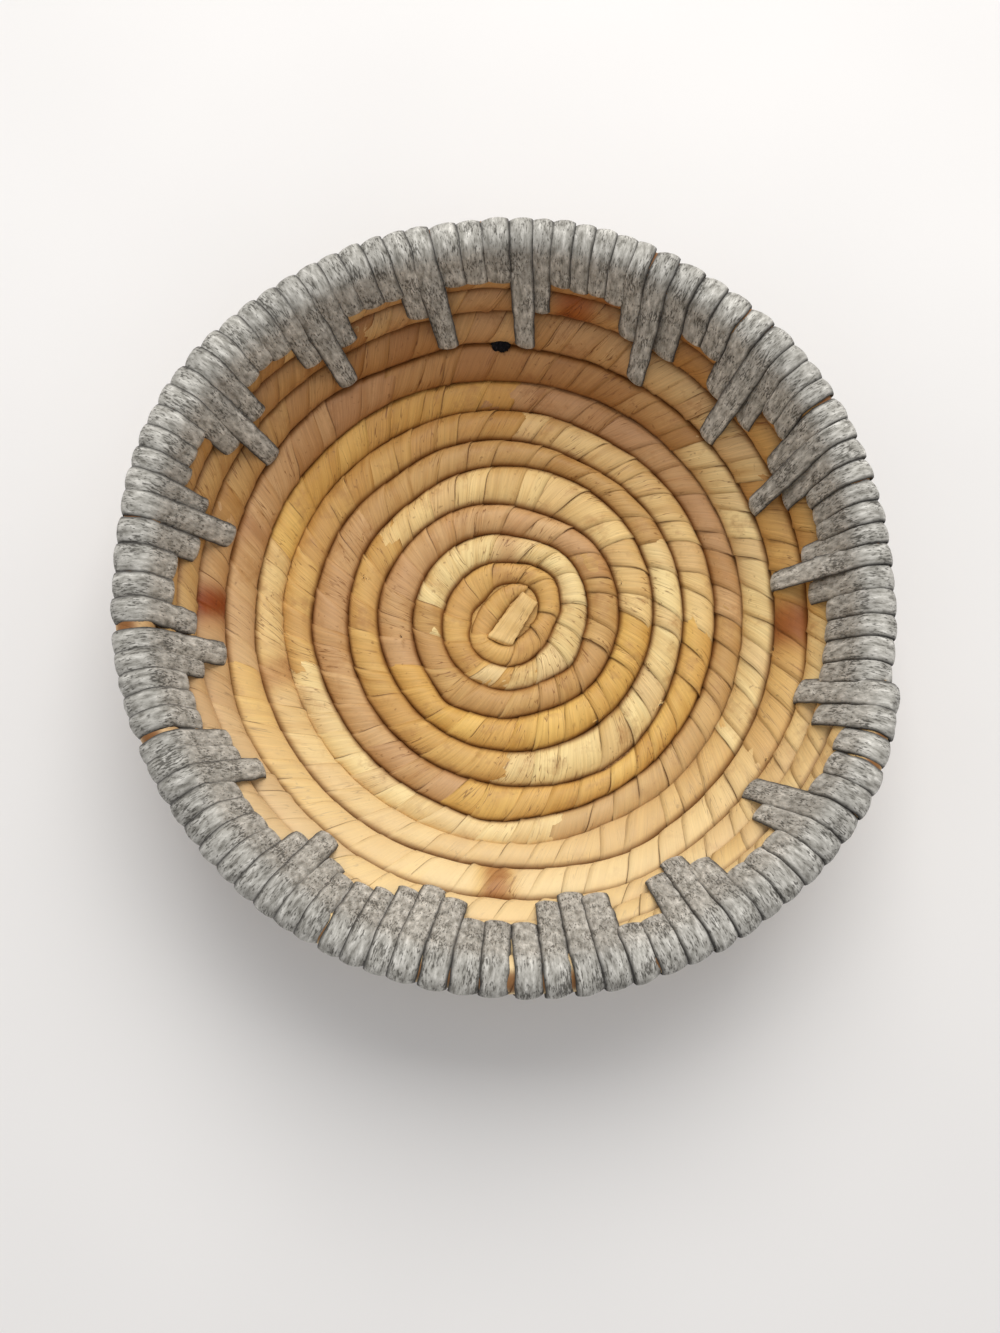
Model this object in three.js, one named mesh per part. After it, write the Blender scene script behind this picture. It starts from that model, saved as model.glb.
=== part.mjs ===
import * as THREE from 'three';

// Coiled basket in millimetres, +Z up. The origin is on the underside, below the middle of the base.
// One core rope winds outwards in a spiral: the first turns lie flat as the base, the last ones
// climb as the wall. Leaf strips are wrapped round the rope, one after another. A flat ribbon is
// wound over the two top turns, and some of its wraps reach down over one or two turns more.

// The coil: thickness is measured corner to corner of its six-sided section
const coilThickness = 9.7;
const startThickness = 6.6;
const thickeningTurns = 2;
const firstTurnRadius = 12.8;
const baseTurns = 7;
const turnGap = 0.4;
const stepDegrees = 15;

// Slope of each step of the wall, from one turn to the next; the last one holds up to the rim
const wallAngles = [35, 40, 50, 70];

// The spiral opens evenly. It starts within the first turn and ends in a tip on the last one.
const coilStartAngle = 195;
const coilEndAngle = 345;
const lastTurn = 12;
const taperStartAngle = 330;
const tipShare = 0.45;

// Hand-made irregularities: an oval start, a flare that grows up to the rim, and a wall that
// stands outwards on the other side. Each flare fades out over its spread angle.
const ovalReach = 1.5;
const ovalTurns = 2.5;
const ovalAngle = 54;
const flareReach = 2.7;
const flareAngle = 150;
const flareSpreadAngle = 24;
const flareFirstTurn = 5;
const bulgeReach = 0.7;
const bulgeAngle = 322;
const bulgeSpreadAngle = 32;
const bulgeFirstTurn = 6.6;
const bulgeFullTurn = 8.6;

// Leaf strips round the core rope
const stripThickness = 0.9;
const coreClearance = 0.3;
const stripCount = 48;
const stripEndGap = 0.3;

// Starter in the middle of the base: a pad closes the hole, and a folded strip lies on it
const padThickness = 3.4;
const padClearance = 0.4;
const foldLength = 16;
const foldWidth = 7.5;
const foldHeight = 4;
const foldCornerRadius = 1.6;
const foldClearance = 0.3;
const foldMiddle = { x: 1.4, y: 0.4 };

// Trim ribbon: a working length is one ribbon, tucked under the next at its ends
const ribbonThickness = 0.6;
const ribbonClearance = 0.55;
const ribbonGap = 0.65;
const wrapsPerRibbon = 20;

// Angle of each long stitch, and the number of wraps from it up to the next long stitch
const longStitches = [
  [6.2, 6], [25.3, 5], [42.8, 5], [64.2, 6], [88.3, 5], [104.3, 6], [126.2, 6], [147.9, 6], [167.4, 5],
  [189.5, 6], [212.8, 6], [232.9, 6], [254.4, 6], [280.7, 6], [300.8, 6], [322.6, 5], [343, 6],
];
const turnsUnderShort = 2;
const turnsUnderMedium = 3;
const turnsUnderLong = 4;

// Dark tied end beside one of the long stitches
const knotAngle = 92.6;
const knotTurn = 8;
const knotLength = 6;
const knotHeight = 3;
const knotClearance = 0.3;

const corners = 6;
const halfSide = Math.PI / corners;
const radians = THREE.MathUtils.degToRad;

// Distance from the middle of the wrapped coil to a corner of its section
function coilRadius(turn) {
  const grown = THREE.MathUtils.clamp((turn - 1) / thickeningTurns, 0, 1);
  return THREE.MathUtils.lerp(startThickness, coilThickness, grown) / 2;
}

// On the wall the turns stand apart by the ribbon that passes between them
const ribbonDepth = (ribbonClearance + ribbonThickness) / Math.cos(halfSide);
const wallStep = coilThickness + ribbonDepth + ribbonClearance;

// Direction and length of the step from one turn to the next
function turnStep(turn) {
  if (turn < baseTurns) {
    return { length: coilRadius(turn) + coilRadius(turn + 1) + turnGap, angle: 0 };
  }
  const angle = radians(wallAngles[Math.min(turn - baseTurns, wallAngles.length - 1)]);
  return { length: turn === baseTurns ? coilThickness + turnGap : wallStep, angle };
}

// Profile of the bowl: where each whole turn sits, as radius and height of its middle
const profile = [{ r: firstTurnRadius - startThickness - turnGap, climb: 0 }];
for (let turn = 0; turn <= lastTurn + 1; turn++) {
  const { length, angle } = turnStep(turn);
  const { r, climb } = profile[turn];
  profile.push({ r: r + length * Math.cos(angle), climb: climb + length * Math.sin(angle) });
}

function profileAt(turn) {
  const whole = Math.floor(turn);
  const part = turn - whole;
  const from = profile[whole];
  const to = profile[whole + 1];
  const rise = THREE.MathUtils.lerp(from.climb, to.climb, part);
  return {
    r: THREE.MathUtils.lerp(from.r, to.r, part),
    z: rise + coilRadius(turn) * Math.cos(halfSide),
  };
}

// Turn number reached at an angle that keeps growing along the coil
function turnAt(degrees) {
  return degrees / 360;
}

// Share from 0 to 1 that grows between two turns
function grownBetween(turn, first, full) {
  return THREE.MathUtils.clamp((turn - first) / (full - first), 0, 1);
}

// Share from 1 down to 0 on either side of a direction
function near(degrees, direction, spread) {
  const away = ((degrees - direction) % 360 + 540) % 360 - 180;
  return Math.exp(-((away / spread) ** 2));
}

// How far the shape leaves a true round
function unevenness(turn, degrees) {
  const oval = ovalReach * (1 - grownBetween(turn, 1, 1 + ovalTurns));
  const flare = flareReach * grownBetween(turn, flareFirstTurn, lastTurn);
  const bulge = bulgeReach * grownBetween(turn, bulgeFirstTurn, bulgeFullTurn);
  return oval * Math.cos(2 * radians(degrees - ovalAngle))
    + flare * near(degrees, flareAngle, flareSpreadAngle)
    + bulge * near(degrees, bulgeAngle, bulgeSpreadAngle);
}

function middleOf(turn, degrees) {
  const { r, z } = profileAt(turn);
  return { r: r + unevenness(turn, degrees), z };
}

// The section lies flat on the base and turns with the wall
function sectionTilt(turn, degrees) {
  const below = middleOf(Math.max(0, turn - 0.5), degrees);
  const above = middleOf(turn + 0.5, degrees);
  const slope = Math.atan2(above.z - below.z, above.r - below.r);
  return slope * THREE.MathUtils.clamp(2 * (turn - baseTurns), 0, 1);
}

// Share of the full section that is left at an angle: the coil tapers to a tip at its end
function taperAt(degrees) {
  const part = (degrees - 360 * lastTurn - taperStartAngle) / (coilEndAngle - taperStartAngle);
  return THREE.MathUtils.lerp(1, tipShare, THREE.MathUtils.clamp(part, 0, 1));
}

// Corners of the coil's section at an angle, drawn in by a depth below its surface. The tip keeps
// its place on the turn below.
function section(degrees, depth) {
  const turn = turnAt(degrees);
  const { r, z } = middleOf(turn, degrees);
  const tilt = sectionTilt(turn, degrees);
  const outer = coilRadius(turn) * taperAt(degrees);
  const sunk = coilRadius(turn) - outer;
  const radius = outer - depth / Math.cos(halfSide);
  return Array.from({ length: corners }, (_, corner) => {
    const angle = tilt + 2 * halfSide * corner;
    return {
      r: r - sunk * Math.cos(tilt) + radius * Math.cos(angle),
      z: z - sunk * Math.sin(tilt) + radius * Math.sin(angle),
    };
  });
}

function place({ r, z }, degrees) {
  const angle = radians(degrees);
  return new THREE.Vector3(r * Math.cos(angle), r * Math.sin(angle), z);
}

function ringAt(degrees, depth) {
  return section(degrees, depth).map((point) => place(point, degrees));
}

function mixRings(from, to, part) {
  return from.map((point, i) => point.clone().lerp(to[i], part));
}

// Closed solid through a row of rings; with inner rings it is a sleeve with a bore. A side that
// isn't flat is split along its shorter diagonal, so that it stays close to what it covers.
function sweep(rings, innerRings) {
  const count = rings[0].length;
  const points = [...rings, ...(innerRings ?? [])].flat();
  const index = [];
  const quad = (a, b, c, d) => {
    if (points[a].distanceTo(points[c]) <= points[b].distanceTo(points[d])) {
      index.push(a, b, c, a, c, d);
    } else {
      index.push(b, c, d, b, d, a);
    }
  };
  const bore = rings.length * count;
  const last = (rings.length - 1) * count;
  for (let ring = 0; ring < rings.length - 1; ring++) {
    for (let i = 0; i < count; i++) {
      const a = ring * count + i;
      const b = ring * count + (i + 1) % count;
      quad(a, a + count, b + count, b);
      if (innerRings) {
        quad(bore + b, bore + b + count, bore + a + count, bore + a);
      }
    }
  }
  for (let i = 0; i < count; i++) {
    const next = (i + 1) % count;
    if (innerRings) {
      quad(i, next, bore + next, bore + i);
      quad(last + next, last + i, bore + last + i, bore + last + next);
    } else if (i > 0 && i < count - 1) {
      index.push(0, i, i + 1);
      index.push(last, last + i + 1, last + i);
    }
  }
  return closedGeometry(points, index);
}

function signedVolume(points, index) {
  let sum = 0;
  const cross = new THREE.Vector3();
  for (let i = 0; i < index.length; i += 3) {
    cross.crossVectors(points[index[i + 1]], points[index[i + 2]]);
    sum += points[index[i]].dot(cross);
  }
  return sum / 6;
}

// Faces are turned round together where they would point inwards
function closedGeometry(points, index) {
  if (signedVolume(points, index) < 0) {
    index.reverse();
  }
  const geometry = new THREE.BufferGeometry();
  geometry.setFromPoints(points);
  geometry.setIndex(index);
  geometry.computeVertexNormals();
  return geometry;
}

const basket = new THREE.Group();

function addPiece(name, geometry, colour, roughness) {
  const material = new THREE.MeshStandardMaterial({ color: colour, roughness, metalness: 0 });
  const mesh = new THREE.Mesh(geometry, material);
  mesh.name = name;
  basket.add(mesh);
}

// Stations every step along the whole coil, shared by the rope and its strips
const stepsPerTurn = 360 / stepDegrees;
const firstStation = coilStartAngle / stepDegrees;
const lastStation = (360 * lastTurn + coilEndAngle) / stepDegrees;
const stations = [];
for (let station = firstStation; station <= lastStation; station++) {
  stations.push(station * stepDegrees);
}

// Core rope: one unbroken length from the starter to the rim
const ropeRings = stations.map((degrees) => ringAt(degrees, stripThickness + coreClearance));
addPiece('core_rope', sweep(ropeRings), '#8a6a42', 0.95);

// Leaf strips: each is wound round the rope over its own length of coil, end to end with the next
const leafColours = ['#d9b878', '#cfa25f', '#e2c68e', '#b98f5c', '#c9a27a', '#d4ad62'];
const outerRings = stations.map((degrees) => ringAt(degrees, 0));
const boreRings = stations.map((degrees) => ringAt(degrees, stripThickness));

function ringMiddle(ring) {
  return ring.reduce((sum, point) => sum.add(point), new THREE.Vector3()).divideScalar(ring.length);
}

const middles = outerRings.map(ringMiddle);

function shortened(rings, first, last) {
  const piece = rings.slice(first, last + 1);
  const startPart = stripEndGap / 2 / middles[first].distanceTo(middles[first + 1]);
  const endPart = stripEndGap / 2 / middles[last].distanceTo(middles[last - 1]);
  piece[0] = mixRings(rings[first], rings[first + 1], startPart);
  piece[piece.length - 1] = mixRings(rings[last], rings[last - 1], endPart);
  return piece;
}

// Every strip covers an equal share of the coil, to the nearest station
const runs = [0];
for (let i = 1; i < middles.length; i++) {
  runs.push(runs[i - 1] + middles[i].distanceTo(middles[i - 1]));
}
const stripEnds = Array.from({ length: stripCount + 1 }, (_, strip) => {
  const wanted = (runs[runs.length - 1] * strip) / stripCount;
  const after = runs.findIndex((run) => run >= wanted);
  return after > 0 && runs[after] - wanted > wanted - runs[after - 1] ? after - 1 : after;
});
for (let strip = 1; strip <= stripCount; strip++) {
  const [first, last] = [stripEnds[strip - 1], stripEnds[strip]];
  const sleeve = sweep(shortened(outerRings, first, last), shortened(boreRings, first, last));
  const number = String(strip).padStart(2, '0');
  addPiece(`leaf_strip_${number}`, sleeve, leafColours[strip % leafColours.length], 0.6);
}

// Starter pad: its outline follows the inside of the first turn, and stops short of the coil's start
const startInside = section(coilStartAngle, 0)[corners / 2].r;
const padInset = THREE.MathUtils.radToDeg(padClearance / (startInside - padClearance));
const padAngles = [coilStartAngle - padInset];
for (let step = 1; step < stepsPerTurn; step++) {
  padAngles.push(coilStartAngle + step * stepDegrees);
}
padAngles.push(coilStartAngle + 360 - padInset);
const padOutline = padAngles.map((degrees) => {
  const inward = section(Math.max(degrees, coilStartAngle), 0)[corners / 2];
  const { x, y } = place({ r: inward.r - padClearance, z: 0 }, degrees);
  return new THREE.Vector2(x, y);
});
const pad = new THREE.ExtrudeGeometry(new THREE.Shape(padOutline), {
  depth: padThickness,
  bevelEnabled: false,
});
addPiece('centre_starter_pad', pad, '#b98f5c', 0.8);

// Folded starter strip: the first turn bends round it
function roundedRectangle(length, width, radius) {
  const shape = new THREE.Shape();
  const x = length / 2 - radius;
  const y = width / 2 - radius;
  shape.absarc(x, y, radius, 0, Math.PI / 2);
  shape.absarc(-x, y, radius, Math.PI / 2, Math.PI);
  shape.absarc(-x, -y, radius, Math.PI, 1.5 * Math.PI);
  shape.absarc(x, -y, radius, 1.5 * Math.PI, 2 * Math.PI);
  return shape;
}

const fold = new THREE.ExtrudeGeometry(roundedRectangle(foldLength, foldWidth, foldCornerRadius), {
  depth: foldHeight,
  bevelEnabled: false,
  curveSegments: 3,
});
fold.rotateZ(radians(ovalAngle));
fold.translate(foldMiddle.x, foldMiddle.y, padThickness + foldClearance);
addPiece('centre_starter_fold', fold, '#d3b384', 0.65);

// Section of the faceted coil in the upright plane at any angle between two stations
function facetedSection(degrees) {
  const from = Math.floor(degrees / stepDegrees) * stepDegrees;
  const back = Math.sin(radians(degrees - from));
  const ahead = Math.sin(radians(from + stepDegrees - degrees));
  const start = section(from, 0);
  const end = section(from + stepDegrees, 0);
  return start.map((a, i) => {
    const b = end[i];
    const weight = a.r * back + b.r * ahead;
    const part = (a.r * back) / weight;
    return {
      r: (a.r * b.r * Math.sin(radians(stepDegrees))) / weight,
      z: THREE.MathUtils.lerp(a.z, b.z, part),
    };
  });
}

// Corner of the ribbon outside one corner of the coil, at a distance from its faces
function offCorner(ring, corner, distance) {
  const middle = {
    r: ring.reduce((sum, point) => sum + point.r, 0) / corners,
    z: ring.reduce((sum, point) => sum + point.z, 0) / corners,
  };
  const point = ring[corner];
  const angle = Math.atan2(point.z - middle.z, point.r - middle.r);
  const out = distance / Math.cos(halfSide);
  return { r: point.r + out * Math.cos(angle), z: point.z + out * Math.sin(angle) };
}

// Every wrap of the trim in order, from just past the end of the coil all the way round to it
const wraps = [];
longStitches.forEach(([angle, count], stitch) => {
  const nextAngle = stitch + 1 < longStitches.length ? longStitches[stitch + 1][0] : longStitches[0][0] + 360;
  for (let i = 0; i < count; i++) {
    const degrees = THREE.MathUtils.lerp(angle, nextAngle, i / count);
    const beside = i === 1 || i === count - 1;
    const turns = i === 0 ? turnsUnderLong : beside ? turnsUnderMedium : turnsUnderShort;
    wraps.push({ degrees: degrees > coilEndAngle + 1 ? degrees - 360 : degrees, turns });
  }
});
wraps.sort((a, b) => a.degrees - b.degrees);
wraps.forEach((wrap, i) => {
  const before = i > 0 ? wrap.degrees - wraps[i - 1].degrees : 360;
  const after = i + 1 < wraps.length ? wraps[i + 1].degrees - wrap.degrees : 360;
  wrap.room = radians(Math.min(before, after));
  wrap.lead = (i > 0 ? before : after) / 2;
});

// One flat cross-section of the ribbon, at a corner of the turn that lies a count below the top
function ribbonRing(wrap, turnsBelowTop, corner, lead = 0) {
  const onCoil = wrap.degrees - lead + 360 * (lastTurn - turnsBelowTop);
  const { r } = offCorner(facetedSection(onCoil), corner, ribbonClearance);
  const halfWidth = THREE.MathUtils.radToDeg((wrap.room - ribbonGap / r) / 2);
  const edge = (side, distance) => {
    const degrees = onCoil + side * halfWidth;
    return place(offCorner(facetedSection(degrees), corner, distance), degrees);
  };
  const outside = ribbonClearance + ribbonThickness;
  return [edge(-1, ribbonClearance), edge(1, ribbonClearance), edge(1, outside), edge(-1, outside)];
}

// A wrap goes over the top turn, down inside, through between two turns and up over the outside of
// the turns that it holds, where it moves on to the place of the next wrap. Over the thin tip it
// also bends round the turn below.
function wrapRings(wrap) {
  const lowest = wrap.turns - 1;
  const nextEdge = wrap.degrees + THREE.MathUtils.radToDeg(wrap.room);
  const overTip = taperAt(nextEdge + 360 * lastTurn) < 1;
  const rings = [
    ribbonRing(wrap, 0, 5, wrap.lead), ribbonRing(wrap, 0, 0), ribbonRing(wrap, 0, 1),
  ];
  if (overTip) {
    rings.push(ribbonRing(wrap, 1, 1));
  }
  rings.push(ribbonRing(wrap, lowest, 2), ribbonRing(wrap, lowest, 3), ribbonRing(wrap, lowest, 4));
  for (let held = lowest; held > 1; held--) {
    rings.push(ribbonRing(wrap, held, 5), ribbonRing(wrap, held - 1, 4));
  }
  if (overTip) {
    rings.push(ribbonRing(wrap, 1, 5));
  }
  return rings;
}

const ribbons = [];
for (let first = 0; first < wraps.length; first += wrapsPerRibbon) {
  ribbons.push(wraps.slice(first, first + wrapsPerRibbon).map(wrapRings));
}
ribbons.forEach((ribbon, i) => {
  addPiece(`trim_ribbon_${i + 1}`, sweep(ribbon.flat()), '#9b9c98', 0.9);
});

// Dark tied end of the ribbon, lying on the inner face of a turn
const knotSeat = facetedSection(knotAngle + 360 * knotTurn);
const knotMiddle = offCorner(knotSeat, 1, 0);
const knot = new THREE.SphereGeometry(1, 8, 6);
knot.scale(knotLength / 2, knotHeight / 2, knotHeight / 2);
knot.rotateZ(radians(knotAngle + 90));
const knotPlace = place(knotMiddle, knotAngle);
knot.translate(knotPlace.x, knotPlace.y, knotPlace.z + knotHeight / 2 + knotClearance);
addPiece('ribbon_tail_knot', knot, '#1c1b20', 0.7);

// Least gap between neighbouring passes of one unbroken tube, measured on points along it
function leastGap(passes) {
  let least = Infinity;
  for (let i = 1; i < passes.length; i++) {
    for (const a of passes[i - 1]) {
      for (const b of passes[i]) {
        least = Math.min(least, a.distanceTo(b));
      }
    }
  }
  return least;
}

const samplesPerStep = 8;

function alongEdges(rings) {
  const points = [];
  for (let i = 1; i < rings.length; i++) {
    for (let sample = 0; sample < samplesPerStep; sample++) {
      points.push(...mixRings(rings[i - 1], rings[i], sample / samplesPerStep));
    }
  }
  return points;
}

const ropeTurns = [];
for (let first = 0; first < ropeRings.length - 1; first += stepsPerTurn) {
  const lap = ropeRings.slice(first, first + stepsPerTurn);
  ropeTurns.push(alongEdges(lap));
}
console.log('core_rope least gap to itself', leastGap(ropeTurns).toFixed(2));
ribbons.forEach((ribbon, i) => {
  const passes = ribbon.map(alongEdges);
  console.log(`trim_ribbon_${i + 1} least gap to itself`, leastGap(passes).toFixed(2));
});

export default basket;
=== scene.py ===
"""Coiled leaf basket with a grey ribbon trim, dressed round the CAD frame."""
import math
import random

import bmesh
import bpy
from mathutils import Matrix, Vector, noise


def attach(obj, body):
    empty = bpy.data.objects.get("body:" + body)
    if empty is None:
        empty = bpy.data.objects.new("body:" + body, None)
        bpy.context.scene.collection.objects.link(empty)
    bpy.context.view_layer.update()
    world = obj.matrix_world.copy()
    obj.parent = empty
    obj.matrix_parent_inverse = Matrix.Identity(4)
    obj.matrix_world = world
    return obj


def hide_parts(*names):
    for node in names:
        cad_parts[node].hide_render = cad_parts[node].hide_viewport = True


bl_info = {
    "name": "Coiled basket",
    "version": (1, 0, 0),
    "blender": (4, 5, 0),
    "location": "3D view, sidebar, Basket",
    "description": "Winds the leaf strips and the ribbon trim of a coiled basket round its frame",
    "category": "Object",
}

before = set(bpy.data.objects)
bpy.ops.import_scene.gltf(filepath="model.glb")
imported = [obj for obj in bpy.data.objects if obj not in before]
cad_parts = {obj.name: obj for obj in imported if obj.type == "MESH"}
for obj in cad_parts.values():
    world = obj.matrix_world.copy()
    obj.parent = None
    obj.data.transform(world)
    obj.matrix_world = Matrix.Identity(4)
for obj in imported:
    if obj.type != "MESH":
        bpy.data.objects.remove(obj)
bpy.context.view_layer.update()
MM = 0.001


# Spiral rules, the same as the solids': sizes in millimetres, angles in degrees

COIL_THICKNESS = 9.7
START_THICKNESS = 6.6
THICKENING_TURNS = 2
FIRST_TURN_RADIUS = 12.8
BASE_TURNS = 7
WALL_ANGLES = (35, 40, 50, 70)
TURN_GAP = 0.4
WALL_STEP = 11.578
COIL_START = 195
COIL_END = 345
LAST_TURN = 12
TAPER_START = 330
TIP_SHARE = 0.45
STATION = 15
STRIP_COUNT = 48
FLAT_SHARE = math.cos(math.pi / 6)
TOP_START = 360 * LAST_TURN

# How the leaf lies on the table, in mm, and how it is squeezed between turns or stands out where it is free
LEAF_REST = 0.35
SEAM_CLEARANCE = 0.02
FREE_SIDE = 0.2
TOP_FREE_SIDE = 0.1
PRESSED_HEIGHT = 0.97

# Degrees before the top turn: no turn lies outside after the first, and the side grows free from the second
NEIGHBOUR_END = 12
FREEING = 30

# The thin first end: where it starts, how long it is in degrees, its share of the size and its dip in mm
TAIL_START = 168
TAIL_LENGTH = 60
TAIL_TIP = 0.1
TAIL_DIP = 2.5

# How the coil leaves a true round: sizes in mm, directions and spreads in degrees, growth in turns
OVAL = 1.5
OVAL_DIRECTION = 54
OVAL_OVER = 2.5
FLARE = 2.7
FLARE_DIRECTION = 150
FLARE_SPREAD = 24
FLARE_FROM = 5
FLARE_OVER = 7
BULGE = 0.7
BULGE_DIRECTION = 322
BULGE_SPREAD = 32
BULGE_FROM = 6.6
BULGE_OVER = 2


def clamp(value, low=0.0, high=1.0):
    return min(max(value, low), high)


def mix(a, b, part):
    return a + (b - a) * part


def smooth(value, low, high):
    part = clamp((value - low) / (high - low))
    return part * part * (3 - 2 * part)


def coil_radius(turn):
    """Half the coil's natural thickness, which grows over its first turns."""
    return mix(START_THICKNESS, COIL_THICKNESS, clamp((turn - 1) / THICKENING_TURNS)) / 2


def turn_profile():
    """Radius and height at which every whole turn sits, from turn 0 on."""
    rows = [(FIRST_TURN_RADIUS - START_THICKNESS - TURN_GAP, 0.0)]
    for turn in range(LAST_TURN + 2):
        angle = 0.0
        if turn >= BASE_TURNS:
            angle = math.radians(WALL_ANGLES[min(turn - BASE_TURNS, len(WALL_ANGLES) - 1)])
        length = coil_radius(turn) + coil_radius(turn + 1) + TURN_GAP
        if turn > BASE_TURNS:
            length = WALL_STEP
        radius, height = rows[-1]
        rows.append((radius + length * math.cos(angle), height + length * math.sin(angle)))
    return rows


PROFILE = turn_profile()


def turn_at(degrees):
    return degrees / 360


def near(degrees, direction, spread):
    """One towards a direction, fading to nothing on either side of it."""
    away = ((degrees - direction) % 360 + 540) % 360 - 180
    return math.exp(-((away / spread) ** 2))


def unevenness(turn, degrees):
    """How far the coil leaves a true round: an oval start, a flare and a bulge of the wall."""
    oval = OVAL * (1 - clamp((turn - 1) / OVAL_OVER))
    flare = FLARE * clamp((turn - FLARE_FROM) / FLARE_OVER)
    bulge = BULGE * clamp((turn - BULGE_FROM) / BULGE_OVER)
    return (oval * math.cos(2 * math.radians(degrees - OVAL_DIRECTION))
            + flare * near(degrees, FLARE_DIRECTION, FLARE_SPREAD)
            + bulge * near(degrees, BULGE_DIRECTION, BULGE_SPREAD))


# Bends of the seams: where along the coil in degrees, how far outwards in mm, over what angle
BENDS = [
    (92, -0.5, 20), (144, -1.6, 24), (190, -1.1, 18), (285, 0.9, 25), (347, -1.0, 14), (400, 0.8, 12),
    (448, -1.5, 24), (683, 1.5, 14), (800, -1.8, 22), (955, 1.5, 10), (1010, -1.4, 18), (1155, -2.2, 26),
    (1255, 1.0, 22), (1498, 1.9, 55), (1570, -1.2, 14), (1745, 2.8, 26), (1864, -1.6, 20),
    (1930, -1.2, 12), (1983, 1.2, 14), (2065, 1.6, 10), (2224, -1.1, 16), (2335, 1.2, 12),
    (2400, -1.2, 28), (2455, -1.2, 12), (2635, 1.1, 14), (2710, 0.9, 12), (2782, -2.4, 24),
    (2815, 1.6, 9), (2978, 2.0, 10), (3012, 2.0, 16), (3085, 1.8, 10), (3145, -1.2, 12),
    (3175, 1.8, 10), (3220, 1.8, 14), (3325, 2.2, 42), (3430, 2.0, 12), (4328, -2.0, 17),
    (4380, -1.0, 12), (4420, -1.6, 14), (4450, -1.2, 14), (4495, -2.2, 10), (4585, -1.4, 10),
    (4616, 1.0, 12),
]


def seam_bend(degrees):
    """How far a bend moves the seam between the coil at an angle and the coil one turn on."""
    return sum(reach * math.exp(-(((degrees - place) / spread) ** 2)) for place, reach, spread in BENDS)


def middle_of(turn, degrees):
    """Radius and height of the coil's middle, for any turn number."""
    whole = int(clamp(math.floor(turn), 0, LAST_TURN + 1))
    (r0, z0), (r1, z1) = PROFILE[whole], PROFILE[whole + 1]
    part = turn - whole
    rise = coil_radius(turn) * FLAT_SHARE + LEAF_REST
    return mix(r0, r1, part) + unevenness(turn, degrees), mix(z0, z1, part) + rise


def tilt_of(turn, degrees):
    """How far the line from one turn to the next leans up from level, in radians."""
    r0, z0 = middle_of(max(0.0, turn - 0.5), degrees)
    r1, z1 = middle_of(turn + 0.5, degrees)
    return math.atan2(z1 - z0, r1 - r0) * clamp(2 * (turn - BASE_TURNS))


def coil_section(degrees):
    """The coil's section: middle (r, z), tilt, half size along the wall and half size across it."""
    turn = turn_at(degrees)
    r, z = middle_of(turn, degrees)
    tilt = tilt_of(turn, degrees)
    natural = coil_radius(turn)
    inner = outer = natural + FREE_SIDE
    if degrees > COIL_START + 360:
        back = middle_of(turn - 1, degrees)
        inner = math.hypot(r - back[0], z - back[1]) / 2 - SEAM_CLEARANCE
    inner -= seam_bend(degrees - 360)
    if degrees < TOP_START - NEIGHBOUR_END:
        ahead = middle_of(turn + 1, degrees)
        outer = math.hypot(ahead[0] - r, ahead[1] - z) / 2 + seam_bend(degrees) - SEAM_CLEARANCE
    freed = smooth(degrees, TOP_START - FREEING, TOP_START)
    outer = mix(outer, natural + TOP_FREE_SIDE + seam_bend(degrees), freed)
    along = (inner + outer) / 2
    shift = (outer - inner) / 2
    across = natural * PRESSED_HEIGHT
    part = clamp((degrees - TOP_START - TAPER_START) / (COIL_END - TAPER_START))
    taper = mix(1.0, TIP_SHARE, part)
    shift -= along * (1 - taper)
    if degrees < TAIL_START + TAIL_LENGTH:
        # The first end is thin, lies against the turn outside it and dips under the folded strip
        taper = mix(TAIL_TIP, 1.0, smooth(degrees, TAIL_START, TAIL_START + TAIL_LENGTH))
        shift += along * (1 - taper)
        z -= (1 - taper) * TAIL_DIP
    r += shift * math.cos(tilt)
    z += shift * math.sin(tilt)
    return r, z, tilt, along * taper, across * taper


def put(r, z, degrees):
    """A point in metres from its radius and height in millimetres."""
    angle = math.radians(degrees)
    return Vector((r * math.cos(angle), r * math.sin(angle), z)) * MM


def directions(tilt, degrees):
    """Unit vectors along the wall, away from the turn before, and out of its upper, inner face."""
    angle = math.radians(degrees)
    outwards = Vector((math.cos(angle), math.sin(angle), 0))
    upwards = Vector((0, 0, 1))
    along = outwards * math.cos(tilt) + upwards * math.sin(tilt)
    across = upwards * math.cos(tilt) - outwards * math.sin(tilt)
    return along, across


# Darker stretches of leaf: where they lie along the coil in degrees, how strong and how long they are
STAINS = [(3420, 1.0, 3.5), (3147, 0.8, 4), (3678, 0.9, 4), (3237, 0.8, 5), (811, 0.35, 9), (3043, 0.3, 3),
          (2715, 0.5, 4)]

# Painted light and shade on the wall: painted shade darkens its far side, which faces away from the lamp,
# and painted light pales its near side, which faces the lamp: how much, towards which direction, from which
# turn on, and over how many turns it grows
PAINTED_FAR_SHADE = 0.6
PAINTED_SHADE_DIRECTION = 88
PAINTED_SHADE_FROM = 5
PAINTED_SHADE_OVER = 4
PAINTED_NEAR_LIGHT = 0.9
PAINTED_LIGHT_DIRECTION = 262
PAINTED_LIGHT_FROM = 5.5
PAINTED_LIGHT_OVER = 3
PAINTED_LIGHT_SPREAD = 62


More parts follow.
